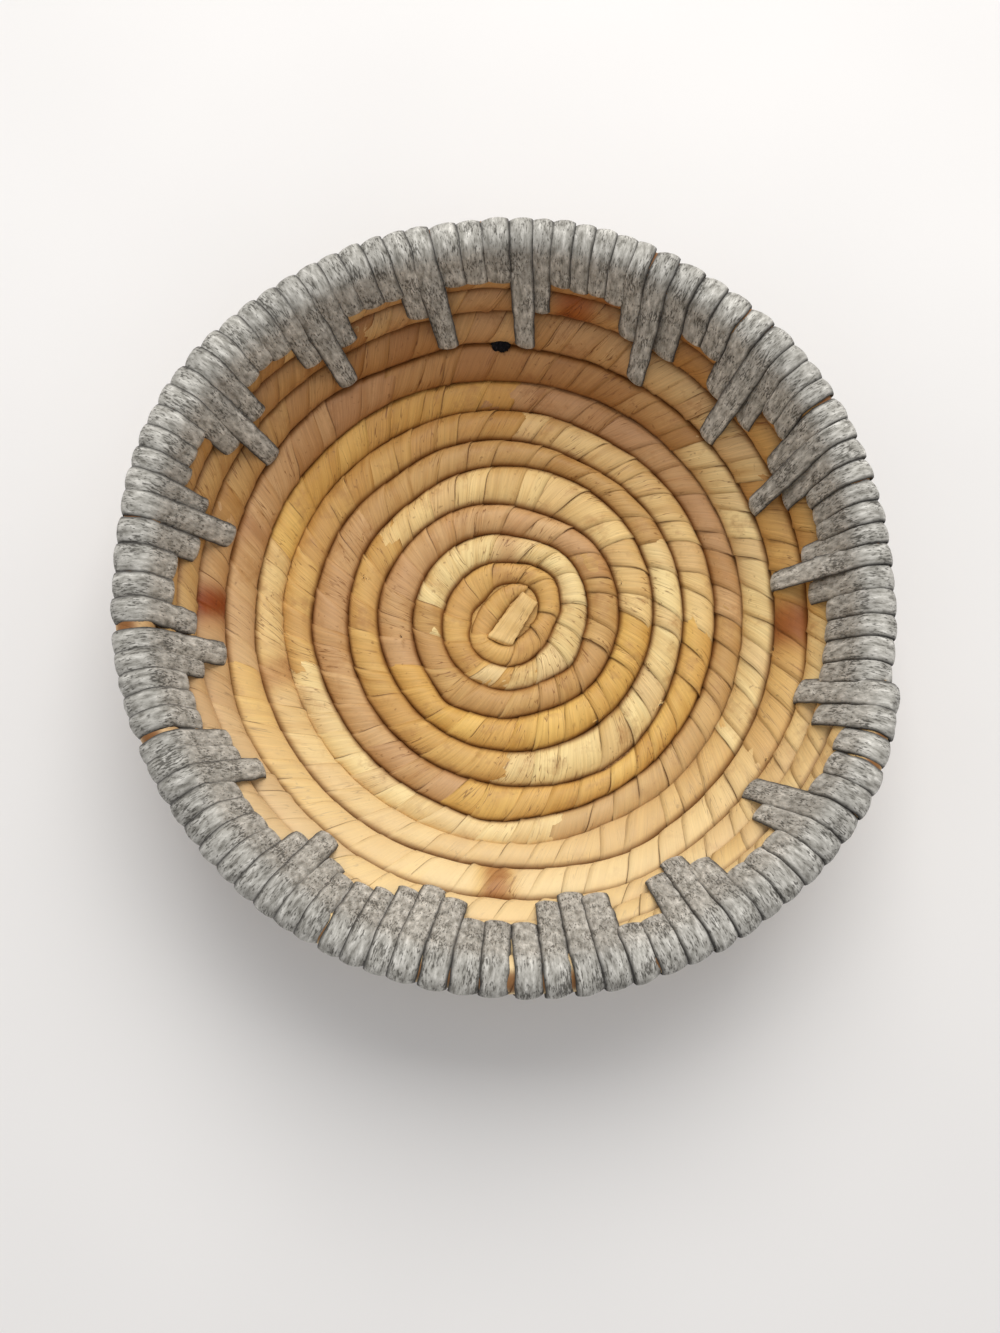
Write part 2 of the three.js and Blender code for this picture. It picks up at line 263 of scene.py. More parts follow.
def stain_and_painted_light_at(degrees):
    """Brown of stained pieces and painted shade on the far wall; below zero, painted light on the near
    wall.
    """
    turn = turn_at(degrees)
    darkened = near(degrees, PAINTED_SHADE_DIRECTION, PAINTED_LIGHT_SPREAD)
    lightened = near(degrees, PAINTED_LIGHT_DIRECTION, PAINTED_LIGHT_SPREAD)
    # Painted shade on the far wall, less than zero for painted light on the near wall
    amount = PAINTED_FAR_SHADE * darkened * clamp((turn - PAINTED_SHADE_FROM) / PAINTED_SHADE_OVER)
    amount -= PAINTED_NEAR_LIGHT * lightened * clamp((turn - PAINTED_LIGHT_FROM) / PAINTED_LIGHT_OVER)
    for place, strength, spread in STAINS:
        amount = mix(amount, 1.0, strength * math.exp(-(((degrees - place) / spread) ** 4)))
    return amount


# Places where the leaf has torn, at most one to a strip: where along the coil in degrees, and how far
# across it from -1 to 1
FRAYS = [(1457, -0.6), (1770, 0.75), (1391, 0.8), (3209, 0.75), (1274, -0.2), (1605, 0.2), (3231, -0.7)]

# Slivers at a torn place, in mm: the dark ones lie flat in the tear as its painted shade, and the pale ones
# stand up from it
SLIVERS = 11
DARK_SLIVERS = 4
DARK_LENGTHS = (0.9, 1.5)
PALE_LENGTHS = (1.2, 2.8)
DARK_HALF_WIDTH = 0.45
PALE_HALF_WIDTH = 0.2
DARK_LIFT = 0.1
PALE_LIFTS = (0.2, 0.9)
TEAR_HALF_LENGTH = 0.9
TEAR_HALF_WIDTH = 0.5
SLIVER_BODY = 0.15
SLIVER_REST = 0.1
SLIVER_TAPER = 0.8
SLIVER_CROSSING = 0.7
SLIVER_CURL = 1.5
TEAR_SHADE = 0.9

# How flat the coil's section is on top, for the height at which a torn place lies
SECTION_FLATNESS = 2.5


def fray(obj, degrees, side, rng):
    """Add torn slivers of leaf to a strip's mesh: a few dark flat ones, painted shade in the tear, then
    pale ones that stand up.
    """
    r, z, tilt, half_along, half_across = coil_section(degrees)
    along, across = directions(tilt, degrees)
    onward = along.cross(across)
    crest = (1 - abs(side) ** SECTION_FLATNESS) ** 0.5
    seat = put(r, z, degrees) + (along * half_along * side + across * half_across * crest) * MM
    mesh = bmesh.new()
    mesh.from_mesh(obj.data)
    mesh.faces.ensure_lookup_table()
    slot = mesh.faces[0].material_index
    pit = mesh.verts.layers.float.new("pit")
    for number in range(SLIVERS):
        dark = number < DARK_SLIVERS
        heading = rng.uniform(0, math.tau)
        way = onward * math.cos(heading) + along * math.sin(heading) * SLIVER_CROSSING
        cross = across.cross(way)
        length = rng.uniform(*(DARK_LENGTHS if dark else PALE_LENGTHS))
        width = DARK_HALF_WIDTH if dark else PALE_HALF_WIDTH
        aside = onward * rng.uniform(-TEAR_HALF_LENGTH, TEAR_HALF_LENGTH)
        aside += along * rng.uniform(-TEAR_HALF_WIDTH, TEAR_HALF_WIDTH)
        start = seat + aside * MM
        lift = DARK_LIFT if dark else rng.uniform(*PALE_LIFTS)
        rows = []
        for share in (0, 1 / 3, 2 / 3, 1):
            up = SLIVER_REST + lift * share ** SLIVER_CURL
            middle = start + (way * length * share + across * up) * MM
            half = cross * width * (1 - SLIVER_TAPER * share) * MM
            under = middle - across * SLIVER_BODY * MM
            rows.append([mesh.verts.new(place) for place in (middle - half, middle + half, under)])
        for low, high in zip(rows, rows[1:]):
            for i in range(3):
                nxt = (i + 1) % 3
                mesh.faces.new((low[i], low[nxt], high[nxt], high[i])).material_index = slot
        mesh.faces.new(rows[0][::-1]).material_index = slot
        mesh.faces.new(rows[-1]).material_index = slot
        for row in rows:
            for vert in row:
                # Dark slivers carry the painted shade of the tear's hole
                vert[pit] = TEAR_SHADE if dark else 0.0
    mesh.to_mesh(obj.data)
    mesh.free()


def strip_ends():
    """Angles between which every leaf strip lies, each an equal share of the coil."""
    stations = list(range(COIL_START, TOP_START + COIL_END + 1, STATION))
    points = [put(*middle_of(turn_at(degrees), degrees), degrees) for degrees in stations]
    runs = [0.0]
    for i in range(1, len(points)):
        runs.append(runs[-1] + (points[i] - points[i - 1]).length)
    ends = []
    for strip in range(STRIP_COUNT + 1):
        wanted = runs[-1] * strip / STRIP_COUNT
        nearest = min(range(len(runs)), key=lambda i: abs(runs[i] - wanted))
        ends.append(stations[nearest])
    return ends


# Helpers for nodes, meshes and colours

def linear(code):
    """A hex sRGB colour as the linear RGBA that a shader takes."""
    parts = [int(code[i:i + 2], 16) / 255 for i in (1, 3, 5)]
    return [p / 12.92 if p <= 0.04045 else ((p + 0.055) / 1.055) ** 2.4 for p in parts] + [1.0]


def add(tree, kind, sockets=None, **settings):
    """Add a node: settings are its properties, sockets maps an input to a value or an output."""
    node = tree.nodes.new(kind)
    for key, value in settings.items():
        if key == "ramp":
            elements = node.color_ramp.elements
            while len(elements) < len(value):
                elements.new(0.5)
            for element, (position, colour) in zip(elements, value):
                element.position = position
                element.color = linear(colour)
        else:
            setattr(node, key, value)
    for key, value in (sockets or {}).items():
        socket = node.inputs[key]
        if isinstance(value, bpy.types.NodeSocket):
            tree.links.new(value, socket)
        else:
            socket.default_value = value
    return node


def path_object(name, points, vectors=None, numbers=None):
    """An edges-only path with its attributes, which a node tree turns into a curve."""
    mesh = bpy.data.meshes.new(name)
    mesh.from_pydata(points, [(i, i + 1) for i in range(len(points) - 1)], [])
    for key, values in (vectors or {}).items():
        layer = mesh.attributes.new(key, "FLOAT_VECTOR", "POINT")
        layer.data.foreach_set("vector", [part for value in values for part in value])
    for key, values in (numbers or {}).items():
        mesh.attributes.new(key, "FLOAT", "POINT").data.foreach_set("value", values)
    obj = bpy.data.objects.new(name, mesh)
    bpy.context.scene.collection.objects.link(obj)
    return obj


def grown(obj, tree, **inputs):
    """Run a node tree on an object and keep the result as its plain mesh."""
    modifier = obj.modifiers.new("make", "NODES")
    modifier.node_group = tree
    for item in tree.interface.items_tree:
        if item.item_type == "SOCKET" and item.in_out == "INPUT" and item.name in inputs:
            modifier[item.identifier] = inputs[item.name]
    obj.data.update()
    shape = obj.evaluated_get(bpy.context.evaluated_depsgraph_get())
    mesh = bpy.data.meshes.new_from_object(shape)
    obj.modifiers.remove(modifier)
    path, obj.data = obj.data, mesh
    bpy.data.meshes.remove(path)
    if not mesh.polygons:
        raise RuntimeError(f"{obj.name}: its node tree made no faces")
    return obj


def thickened(obj, thickness):
    """Give an open sheet its thickness, inwards."""
    modifier = obj.modifiers.new("thickness", "SOLIDIFY")
    modifier.thickness = thickness
    modifier.offset = -1
    shape = obj.evaluated_get(bpy.context.evaluated_depsgraph_get())
    mesh = bpy.data.meshes.new_from_object(shape)
    obj.modifiers.remove(modifier)
    sheet, obj.data = obj.data, mesh
    bpy.data.meshes.remove(sheet)
    return obj


def tree_with(name, sockets):
    """An empty geometry tree with a geometry in and out, and named inputs."""
    tree = bpy.data.node_groups.new(name, "GeometryNodeTree")
    tree.interface.new_socket("Path", in_out="INPUT", socket_type="NodeSocketGeometry")
    for label, kind in sockets:
        tree.interface.new_socket(label, in_out="INPUT", socket_type=f"NodeSocket{kind}")
    tree.interface.new_socket("Made", in_out="OUTPUT", socket_type="NodeSocketGeometry")
    return tree, tree.nodes.new("NodeGroupInput").outputs


# Node tree: a leaf wound round the coil

# Metres: the height that the table presses the lowest leaf to, and the length of leaf in one winding
PRESSED_FLAT = 0.0003
LEAF_PER_WINDING = 0.031


def leaf_tree():
    """Lays a grid along the path as a flat leaf, wound round and round with its edges overlapped."""
    tree, given = tree_with("wind a leaf round the coil", [
        ("Windings", "Float"), ("Tuck", "Float"), ("Cover", "Float"), ("Leaf step", "Float"),
        ("Lifted edge", "Float"), ("Lump height", "Float"), ("Lump size", "Float"),
        ("Wander", "Float"), ("Squareness", "Float"), ("Columns", "Int"), ("Rows", "Int"),
        ("Seed", "Float"), ("Lean", "Float"), ("Leaf", "Material"),
    ])
    curve = add(tree, "GeometryNodeMeshToCurve", {"Mesh": given["Path"]}).outputs["Curve"]
    length = add(tree, "GeometryNodeCurveLength", {"Curve": curve}).outputs["Length"]
    tucks = add(tree, "ShaderNodeMath", {0: given["Tuck"], 1: 2.0}, operation="MULTIPLY").outputs[0]
    wound = add(tree, "ShaderNodeMath", {0: length, 1: tucks}, operation="SUBTRACT").outputs[0]
    pitch = add(tree, "ShaderNodeMath", {0: wound, 1: given["Windings"]}, operation="DIVIDE").outputs[0]
    grid = add(tree, "GeometryNodeMeshGrid", {
        "Size X": 1.0, "Size Y": 1.0,
        "Vertices X": given["Columns"], "Vertices Y": given["Rows"]})
    place = add(tree, "GeometryNodeInputPosition").outputs[0]
    parts = add(tree, "ShaderNodeSeparateXYZ", {0: place}).outputs
    share = add(tree, "ShaderNodeMath", {0: parts["X"], 1: 0.5}, operation="ADD").outputs[0]
    turns = add(tree, "ShaderNodeMath", {0: share, 1: given["Windings"]}, operation="MULTIPLY").outputs[0]
    band = add(tree, "ShaderNodeMath", {0: pitch, 1: given["Cover"]}, operation="MULTIPLY").outputs[0]
    side = add(tree, "ShaderNodeMath", {0: parts["Y"], 1: band}, operation="MULTIPLY").outputs[0]

    # Where along the coil: even windings that wander a little, each a leaf's width across
    walk = add(tree, "ShaderNodeMath", {0: turns, 1: given["Seed"]}, operation="ADD").outputs[0]
    drift = add(tree, "ShaderNodeTexNoise", {"W": walk, "Scale": 0.55, "Detail": 1.0},
                noise_dimensions="1D").outputs[0]
    drift = add(tree, "ShaderNodeMath", {0: drift, 1: 0.5}, operation="SUBTRACT").outputs[0]
    drift = add(tree, "ShaderNodeMath", {0: drift, 1: given["Wander"]}, operation="MULTIPLY").outputs[0]
    along = add(tree, "ShaderNodeMath", {0: share, 1: wound, 2: given["Tuck"]},
                operation="MULTIPLY_ADD").outputs[0]
    along = add(tree, "ShaderNodeMath", {0: along, 1: side}, operation="ADD").outputs[0]
    along = add(tree, "ShaderNodeMath", {0: along, 1: drift}, operation="ADD").outputs[0]
    angle = add(tree, "ShaderNodeMath", {0: turns, 1: math.tau, 2: -math.pi / 2},
                operation="MULTIPLY_ADD").outputs[0]
    back = add(tree, "ShaderNodeMath", {0: angle}, operation="COSINE").outputs[0]
    back = add(tree, "ShaderNodeMath", {0: back, 1: given["Lean"]}, operation="MULTIPLY").outputs[0]
    along = add(tree, "ShaderNodeMath", {0: along, 1: back}, operation="SUBTRACT").outputs[0]

    # Sampled from the path: place, the two directions of the section and its half sizes
    samples = []
    for key in ("along", "across", "half"):
        named = add(tree, "GeometryNodeInputNamedAttribute", {"Name": key}, data_type="FLOAT_VECTOR")
        samples.append(add(tree, "GeometryNodeSampleCurve", {
            "Curves": curve, "Value": named.outputs[0], "Length": along},
            mode="LENGTH", data_type="FLOAT_VECTOR"))
    spot = samples[0].outputs["Position"]
    along_wall, across_wall = samples[0].outputs[0], samples[1].outputs[0]
    halves = add(tree, "ShaderNodeSeparateXYZ", {0: samples[2].outputs[0]}).outputs

    # Round the coil: a rounded square, so that neighbouring turns press flat against each other
    reaches, waves = [], []
    for rule, half in (("COSINE", halves["X"]), ("SINE", halves["Y"])):
        wave = add(tree, "ShaderNodeMath", {0: angle}, operation=rule).outputs[0]
        size = add(tree, "ShaderNodeMath", {0: wave}, operation="ABSOLUTE").outputs[0]
        size = add(tree, "ShaderNodeMath", {0: size, 1: given["Squareness"]}, operation="POWER").outputs[0]
        sign = add(tree, "ShaderNodeMath", {0: wave}, operation="SIGN").outputs[0]
        size = add(tree, "ShaderNodeMath", {0: size, 1: sign}, operation="MULTIPLY").outputs[0]
        reaches.append(add(tree, "ShaderNodeMath", {0: size, 1: half}, operation="MULTIPLY").outputs[0])
        waves.append(wave)
    out_x = add(tree, "ShaderNodeVectorMath", {0: along_wall, "Scale": reaches[0]},
                operation="SCALE").outputs[0]
    out_y = add(tree, "ShaderNodeVectorMath", {0: across_wall, "Scale": reaches[1]},
                operation="SCALE").outputs[0]
    out = add(tree, "ShaderNodeVectorMath", {0: out_x, 1: out_y}, operation="ADD").outputs[0]
    skin = add(tree, "ShaderNodeVectorMath", {0: out}, operation="NORMALIZE").outputs[0]

    # Height: each winding lies on the edge of the one before, some edges stand up, all is lumpy
    slope = add(tree, "ShaderNodeMath", {0: parts["Y"], 1: given["Leaf step"]},
                operation="MULTIPLY").outputs[0]
    slope = add(tree, "ShaderNodeMath", {0: slope, 1: given["Cover"]}, operation="MULTIPLY").outputs[0]
    spot_out = add(tree, "ShaderNodeVectorMath", {0: spot, 1: out}, operation="ADD").outputs[0]
    shifted = add(tree, "ShaderNodeVectorMath", {0: spot_out, 1: given["Seed"]}, operation="ADD").outputs[0]
    lump = add(tree, "ShaderNodeTexNoise", {
        "Vector": shifted, "Scale": given["Lump size"], "Detail": 2.0, "Roughness": 0.6}).outputs[0]
    lump = add(tree, "ShaderNodeMath", {0: lump, 1: 0.5}, operation="SUBTRACT").outputs[0]
    lump = add(tree, "ShaderNodeMath", {0: lump, 1: given["Lump height"]}, operation="MULTIPLY").outputs[0]
    edge = add(tree, "ShaderNodeMapRange", {
        "Value": parts["Y"], "From Min": -0.34, "From Max": -0.5, "To Min": 0.0, "To Max": 1.0},
        interpolation_type="SMOOTHSTEP").outputs[0]
    rag = add(tree, "ShaderNodeTexNoise", {"W": walk, "Scale": 2.3, "Detail": 2.0},
              noise_dimensions="1D").outputs[0]
    rag = add(tree, "ShaderNodeMapRange", {
        "Value": rag, "From Min": 0.5, "From Max": 0.72, "To Min": 0.0, "To Max": 1.0}).outputs[0]
    rag = add(tree, "ShaderNodeMath", {0: rag, 1: edge}, operation="MULTIPLY").outputs[0]
    rag = add(tree, "ShaderNodeMath", {0: rag, 1: given["Lifted edge"]}, operation="MULTIPLY").outputs[0]
    height = add(tree, "ShaderNodeMath", {0: lump, 1: slope}, operation="SUBTRACT").outputs[0]
    height = add(tree, "ShaderNodeMath", {0: height, 1: rag}, operation="ADD").outputs[0]
    rise = add(tree, "ShaderNodeVectorMath", {0: skin, "Scale": height}, operation="SCALE").outputs[0]
    target = add(tree, "ShaderNodeVectorMath", {0: spot_out, 1: rise}, operation="ADD").outputs[0]
    # Pressed flat where the basket stands on the table
    target = add(tree, "ShaderNodeVectorMath", {0: target, 1: (-1, -1, PRESSED_FLAT)},
                 operation="MAXIMUM").outputs[0]

    # What the material reads: lengths along and across the leaf, and how deep in the seam
    run = add(tree, "ShaderNodeMath", {0: turns, 1: LEAF_PER_WINDING}, operation="MULTIPLY").outputs[0]
    run = add(tree, "ShaderNodeMath", {0: run, 1: given["Seed"]}, operation="ADD").outputs[0]
    leaf_map = add(tree, "ShaderNodeCombineXYZ", {"X": run, "Y": side}).outputs[0]
    kept = grid.outputs["Mesh"]
    kept = add(tree, "GeometryNodeStoreNamedAttribute", {
        "Geometry": kept, "Name": "leaf_map", "Value": leaf_map},
        data_type="FLOAT2", domain="CORNER").outputs[0]
    # How deep in the seam between two turns, which the leaf material browns as painted shade
    seam = add(tree, "ShaderNodeMath", {0: waves[0]}, operation="ABSOLUTE").outputs[0]
    # The stain value also carries the wall's painted shade, and its painted light below zero
    marks = {"seam": seam, "leaf_side": parts["Y"], "winding": walk, "stain": halves["Z"]}
    for key, value in marks.items():
        kept = add(tree, "GeometryNodeStoreNamedAttribute", {
            "Geometry": kept, "Name": key, "Value": value}, data_type="FLOAT", domain="POINT").outputs[0]
    shaped = add(tree, "GeometryNodeSetPosition", {"Geometry": kept, "Position": target}).outputs[0]
    shaded = add(tree, "GeometryNodeSetShadeSmooth", {"Geometry": shaped}).outputs[0]
    real = add(tree, "GeometryNodeRealizeInstances", {"Geometry": shaded}).outputs[0]
    final = add(tree, "GeometryNodeSetMaterial", {"Geometry": real, "Material": given["Leaf"]}).outputs[0]
    add(tree, "NodeGroupOutput", {0: final})
    return tree


# Node tree: a flat crowned ribbon along a path

# How square the ribbon's section is, 1 for an ellipse, and how near its seam's points lie, in metres
RIBBON_SQUARENESS = 0.75
SAME_PLACE = 1e-6


def ribbon_tree():
    """Lays a closed, crowned and flat section along a path that carries its own directions."""
    tree, given = tree_with("lay a ribbon along its path", [
        ("Thickness", "Float"), ("Crown", "Float"), ("Unevenness", "Float"), ("Unevenness size", "Float"),
        ("Columns", "Int"), ("Rows", "Int"), ("Seed", "Float"), ("Ribbon", "Material"),
    ])
    curve = add(tree, "GeometryNodeMeshToCurve", {"Mesh": given["Path"]}).outputs["Curve"]
    length = add(tree, "GeometryNodeCurveLength", {"Curve": curve}).outputs["Length"]
    grid = add(tree, "GeometryNodeMeshGrid", {
        "Size X": 1.0, "Size Y": 1.0,
        "Vertices X": given["Columns"], "Vertices Y": given["Rows"]})
    place = add(tree, "GeometryNodeInputPosition").outputs[0]
    parts = add(tree, "ShaderNodeSeparateXYZ", {0: place}).outputs
    share = add(tree, "ShaderNodeMath", {0: parts["X"], 1: 0.5}, operation="ADD").outputs[0]
    along = add(tree, "ShaderNodeMath", {0: share, 1: length}, operation="MULTIPLY").outputs[0]
    samples = []
    for key in ("sideways", "outwards", "sizes"):
        named = add(tree, "GeometryNodeInputNamedAttribute", {"Name": key}, data_type="FLOAT_VECTOR")
        samples.append(add(tree, "GeometryNodeSampleCurve", {
            "Curves": curve, "Value": named.outputs[0], "Length": along},
            mode="LENGTH", data_type="FLOAT_VECTOR"))
    sizes = add(tree, "ShaderNodeSeparateXYZ", {0: samples[2].outputs[0]}).outputs

    # Round the section: half the width sideways, half the thickness outwards, and the crown
    angle = add(tree, "ShaderNodeMath", {0: parts["Y"], 1: -math.tau}, operation="MULTIPLY").outputs[0]
    waves = []
    for rule in ("COSINE", "SINE"):
        wave = add(tree, "ShaderNodeMath", {0: angle}, operation=rule).outputs[0]
        size = add(tree, "ShaderNodeMath", {0: wave}, operation="ABSOLUTE").outputs[0]
        size = add(tree, "ShaderNodeMath", {0: size, 1: RIBBON_SQUARENESS}, operation="POWER").outputs[0]
        sign = add(tree, "ShaderNodeMath", {0: wave}, operation="SIGN").outputs[0]
        waves.append(add(tree, "ShaderNodeMath", {0: size, 1: sign}, operation="MULTIPLY").outputs[0])
    across = add(tree, "ShaderNodeMath", {0: waves[0], 1: sizes["X"]}, operation="MULTIPLY").outputs[0]
    square = add(tree, "ShaderNodeMath", {0: waves[0], 1: waves[0]}, operation="MULTIPLY").outputs[0]
    crown = add(tree, "ShaderNodeMath", {0: 1.0, 1: square}, operation="SUBTRACT").outputs[0]
    crown = add(tree, "ShaderNodeMath", {0: crown, 1: given["Crown"]}, operation="MULTIPLY").outputs[0]
    half = add(tree, "ShaderNodeMath", {0: waves[1], 1: given["Thickness"]},
               operation="MULTIPLY").outputs[0]
    half = add(tree, "ShaderNodeMath", {0: half, 1: 0.5}, operation="MULTIPLY").outputs[0]
    out = add(tree, "ShaderNodeMath", {0: crown, 1: half}, operation="ADD").outputs[0]
    out = add(tree, "ShaderNodeMath", {0: out, 1: sizes["Y"]}, operation="MULTIPLY").outputs[0]
    tip = add(tree, "ShaderNodeMath", {0: waves[0], 1: sizes["Z"], 2: out},
              operation="MULTIPLY_ADD").outputs[0]
    run = add(tree, "ShaderNodeMath", {0: along, 1: given["Seed"]}, operation="ADD").outputs[0]
    leaf_map = add(tree, "ShaderNodeCombineXYZ", {"X": run, "Y": across}).outputs[0]
    fuzz = add(tree, "ShaderNodeTexNoise", {
        "Vector": leaf_map, "Scale": given["Unevenness size"], "Detail": 2.0, "Roughness": 0.6}).outputs[0]
    fuzz = add(tree, "ShaderNodeMath", {0: fuzz, 1: 0.5}, operation="SUBTRACT").outputs[0]
    fuzz = add(tree, "ShaderNodeMath", {0: fuzz, 1: given["Unevenness"], 2: tip},
               operation="MULTIPLY_ADD").outputs[0]
    move_side = add(tree, "ShaderNodeVectorMath", {0: samples[0].outputs[0], "Scale": across},
                    operation="SCALE").outputs[0]
    move_out = add(tree, "ShaderNodeVectorMath", {0: samples[1].outputs[0], "Scale": fuzz},
                   operation="SCALE").outputs[0]
    target = add(tree, "ShaderNodeVectorMath", {0: samples[0].outputs["Position"], 1: move_side},
                 operation="ADD").outputs[0]
    target = add(tree, "ShaderNodeVectorMath", {0: target, 1: move_out}, operation="ADD").outputs[0]
    kept = grid.outputs["Mesh"]
    kept = add(tree, "GeometryNodeStoreNamedAttribute", {
        "Geometry": kept, "Name": "leaf_map", "Value": leaf_map},
        data_type="FLOAT2", domain="CORNER").outputs[0]
    # How near the ribbon's edge, which the grey material darkens as painted shade
    rim = add(tree, "ShaderNodeMath", {0: waves[0]}, operation="ABSOLUTE").outputs[0]
    kept = add(tree, "GeometryNodeStoreNamedAttribute", {
        "Geometry": kept, "Name": "ribbon_edge", "Value": rim},
        data_type="FLOAT", domain="POINT").outputs[0]
    shaped = add(tree, "GeometryNodeSetPosition", {"Geometry": kept, "Position": target}).outputs[0]
    closed = add(tree, "GeometryNodeMergeByDistance", {
        "Geometry": shaped, "Distance": SAME_PLACE}).outputs[0]
    shaded = add(tree, "GeometryNodeSetShadeSmooth", {"Geometry": closed}).outputs[0]
    real = add(tree, "GeometryNodeRealizeInstances", {"Geometry": shaded}).outputs[0]
    final = add(tree, "GeometryNodeSetMaterial", {"Geometry": real, "Material": given["Ribbon"]}).outputs[0]
    add(tree, "NodeGroupOutput", {0: final})
    return tree


# Materials

def new_material(name):
    material = bpy.data.materials.new(name)
    material.use_nodes = True
    material.node_tree.nodes.clear()
    return material, material.node_tree


# How much red, green and blue the browner and the greyer leaf keep of the leaf's own colour
BROWNER = (0.7, 0.56, 0.4)
GREYER = (0.86, 0.79, 0.8)


def dried_leaf(name, colour):
    """Palm leaf, dried and split by hand: satin skin, fine veins along the leaf, brown blotches."""
    material, tree = new_material(name)
    browner = (*(part * kept for part, kept in zip(colour, BROWNER)), 1.0)
    greyer = (*(part * kept for part, kept in zip(colour, GREYER)), 1.0)
    colour = (*colour, 1.0)
    leaf_map = add(tree, "ShaderNodeUVMap", uv_map="leaf_map").outputs[0]
    given = {key: add(tree, "ShaderNodeAttribute", attribute_name=key).outputs["Fac"]
             for key in ("seam", "leaf_side", "winding", "stain", "pit")}

    # Tones drift every winding or two, with bands about 20 mm long: browner leaf, and greyish leaf
    tone = add(tree, "ShaderNodeTexNoise", {"W": given["winding"], "Scale": 0.83, "Detail": 1.0},
               noise_dimensions="1D").outputs[0]
    banded = add(tree, "ShaderNodeVectorMath", {0: leaf_map, 1: (45, 260, 1)},
                 operation="MULTIPLY").outputs[0]
    bands = add(tree, "ShaderNodeTexNoise", {"Vector": banded, "Scale": 1.0, "Detail": 3.0,
                                             "Roughness": 0.6}).outputs[0]
    both = add(tree, "ShaderNodeMath", {0: tone, 1: bands}, operation="ADD").outputs[0]
    both = add(tree, "ShaderNodeMapRange", {
        "Value": both, "From Min": 0.8, "From Max": 1.3, "To Min": 0.0, "To Max": 0.8}).outputs[0]
    base = add(tree, "ShaderNodeMix", {0: both, 6: colour, 7: browner}, data_type="RGBA").outputs[2]
    elsewhere = add(tree, "ShaderNodeMath", {0: given["winding"], 1: 37.0}, operation="ADD").outputs[0]
    dull = add(tree, "ShaderNodeTexNoise", {"W": elsewhere, "Scale": 0.57, "Detail": 0.0},
               noise_dimensions="1D").outputs[0]
    dull = add(tree, "ShaderNodeMapRange", {
        "Value": dull, "From Min": 0.52, "From Max": 0.64, "To Min": 0.0, "To Max": 0.75}).outputs[0]
    base = add(tree, "ShaderNodeMix", {0: dull, 6: base, 7: greyer}, data_type="RGBA").outputs[2]

    # Veins are about 0.6 mm apart and run along the leaf
    stretched = add(tree, "ShaderNodeVectorMath", {0: leaf_map, 1: (70, 1500, 1)},
                    operation="MULTIPLY").outputs[0]
    veins = add(tree, "ShaderNodeTexNoise", {"Vector": stretched, "Scale": 1.0, "Detail": 3.0,
                                             "Roughness": 0.65}).outputs[0]
    lines = add(tree, "ShaderNodeMapRange", {
        "Value": veins, "From Min": 0.3, "From Max": 0.7, "To Min": 0.84, "To Max": 1.09}).outputs[0]
    base = add(tree, "ShaderNodeMix", {0: 1.0, 6: base, 7: lines},
               data_type="RGBA", blend_type="MULTIPLY").outputs[2]

    # Painted shade of thin creases: dark lines, some 15 mm long, follow the veins on part of the leaf
    long = add(tree, "ShaderNodeVectorMath", {0: leaf_map, 1: (60, 420, 1)},
               operation="MULTIPLY").outputs[0]
    crease = add(tree, "ShaderNodeTexNoise", {"Vector": long, "Scale": 1.0, "Detail": 2.0}).outputs[0]
    away = add(tree, "ShaderNodeMath", {0: crease, 1: 0.53}, operation="SUBTRACT").outputs[0]
    away = add(tree, "ShaderNodeMath", {0: away}, operation="ABSOLUTE").outputs[0]
    thin = add(tree, "ShaderNodeMapRange", {
        "Value": away, "From Min": 0.004, "From Max": 0.014, "To Min": 0.75, "To Max": 0.0}).outputs[0]
    place = add(tree, "ShaderNodeTexCoord").outputs["Object"]
    some = add(tree, "ShaderNodeTexNoise", {"Vector": place, "Scale": 75.0, "Detail": 1.0}).outputs[0]
    some = add(tree, "ShaderNodeMapRange", {
        "Value": some, "From Min": 0.47, "From Max": 0.6, "To Min": 0.15, "To Max": 1.0}).outputs[0]
    thin = add(tree, "ShaderNodeMath", {0: thin, 1: some}, operation="MULTIPLY").outputs[0]
    base = add(tree, "ShaderNodeMix", {0: thin, 6: base, 7: linear("#7a4e27")}, data_type="RGBA").outputs[2]

    # Blotches of brown, up to 8 mm apart, and small dark specks, up to 1.6 mm apart
    blotch = add(tree, "ShaderNodeTexNoise", {"Vector": place, "Scale": 120.0, "Detail": 4.0,
                                              "Roughness": 0.65}).outputs[0]
    blotched = add(tree, "ShaderNodeMapRange", {
        "Value": blotch, "From Min": 0.55, "From Max": 0.75, "To Min": 0.0, "To Max": 0.7}).outputs[0]
    base = add(tree, "ShaderNodeMix", {0: blotched, 6: base, 7: linear("#a97a48")},
               data_type="RGBA").outputs[2]
    speck = add(tree, "ShaderNodeTexNoise", {"Vector": place, "Scale": 620.0, "Detail": 1.0}).outputs[0]
    speck = add(tree, "ShaderNodeMapRange", {
        "Value": speck, "From Min": 0.7, "From Max": 0.8, "To Min": 0.0, "To Max": 0.45}).outputs[0]
    base = add(tree, "ShaderNodeMix", {0: speck, 6: base, 7: linear("#6f4622")},
               data_type="RGBA").outputs[2]

    # Painted light on the near wall: paler and less yellow
    pale = add(tree, "ShaderNodeMapRange", {
        "Value": given["stain"],
        "From Min": 0.0, "From Max": -1.0, "To Min": 0.0, "To Max": 0.8}).outputs[0]
    base = add(tree, "ShaderNodeMix", {0: pale, 6: base, 7: linear("#f7dfae")}, data_type="RGBA").outputs[2]

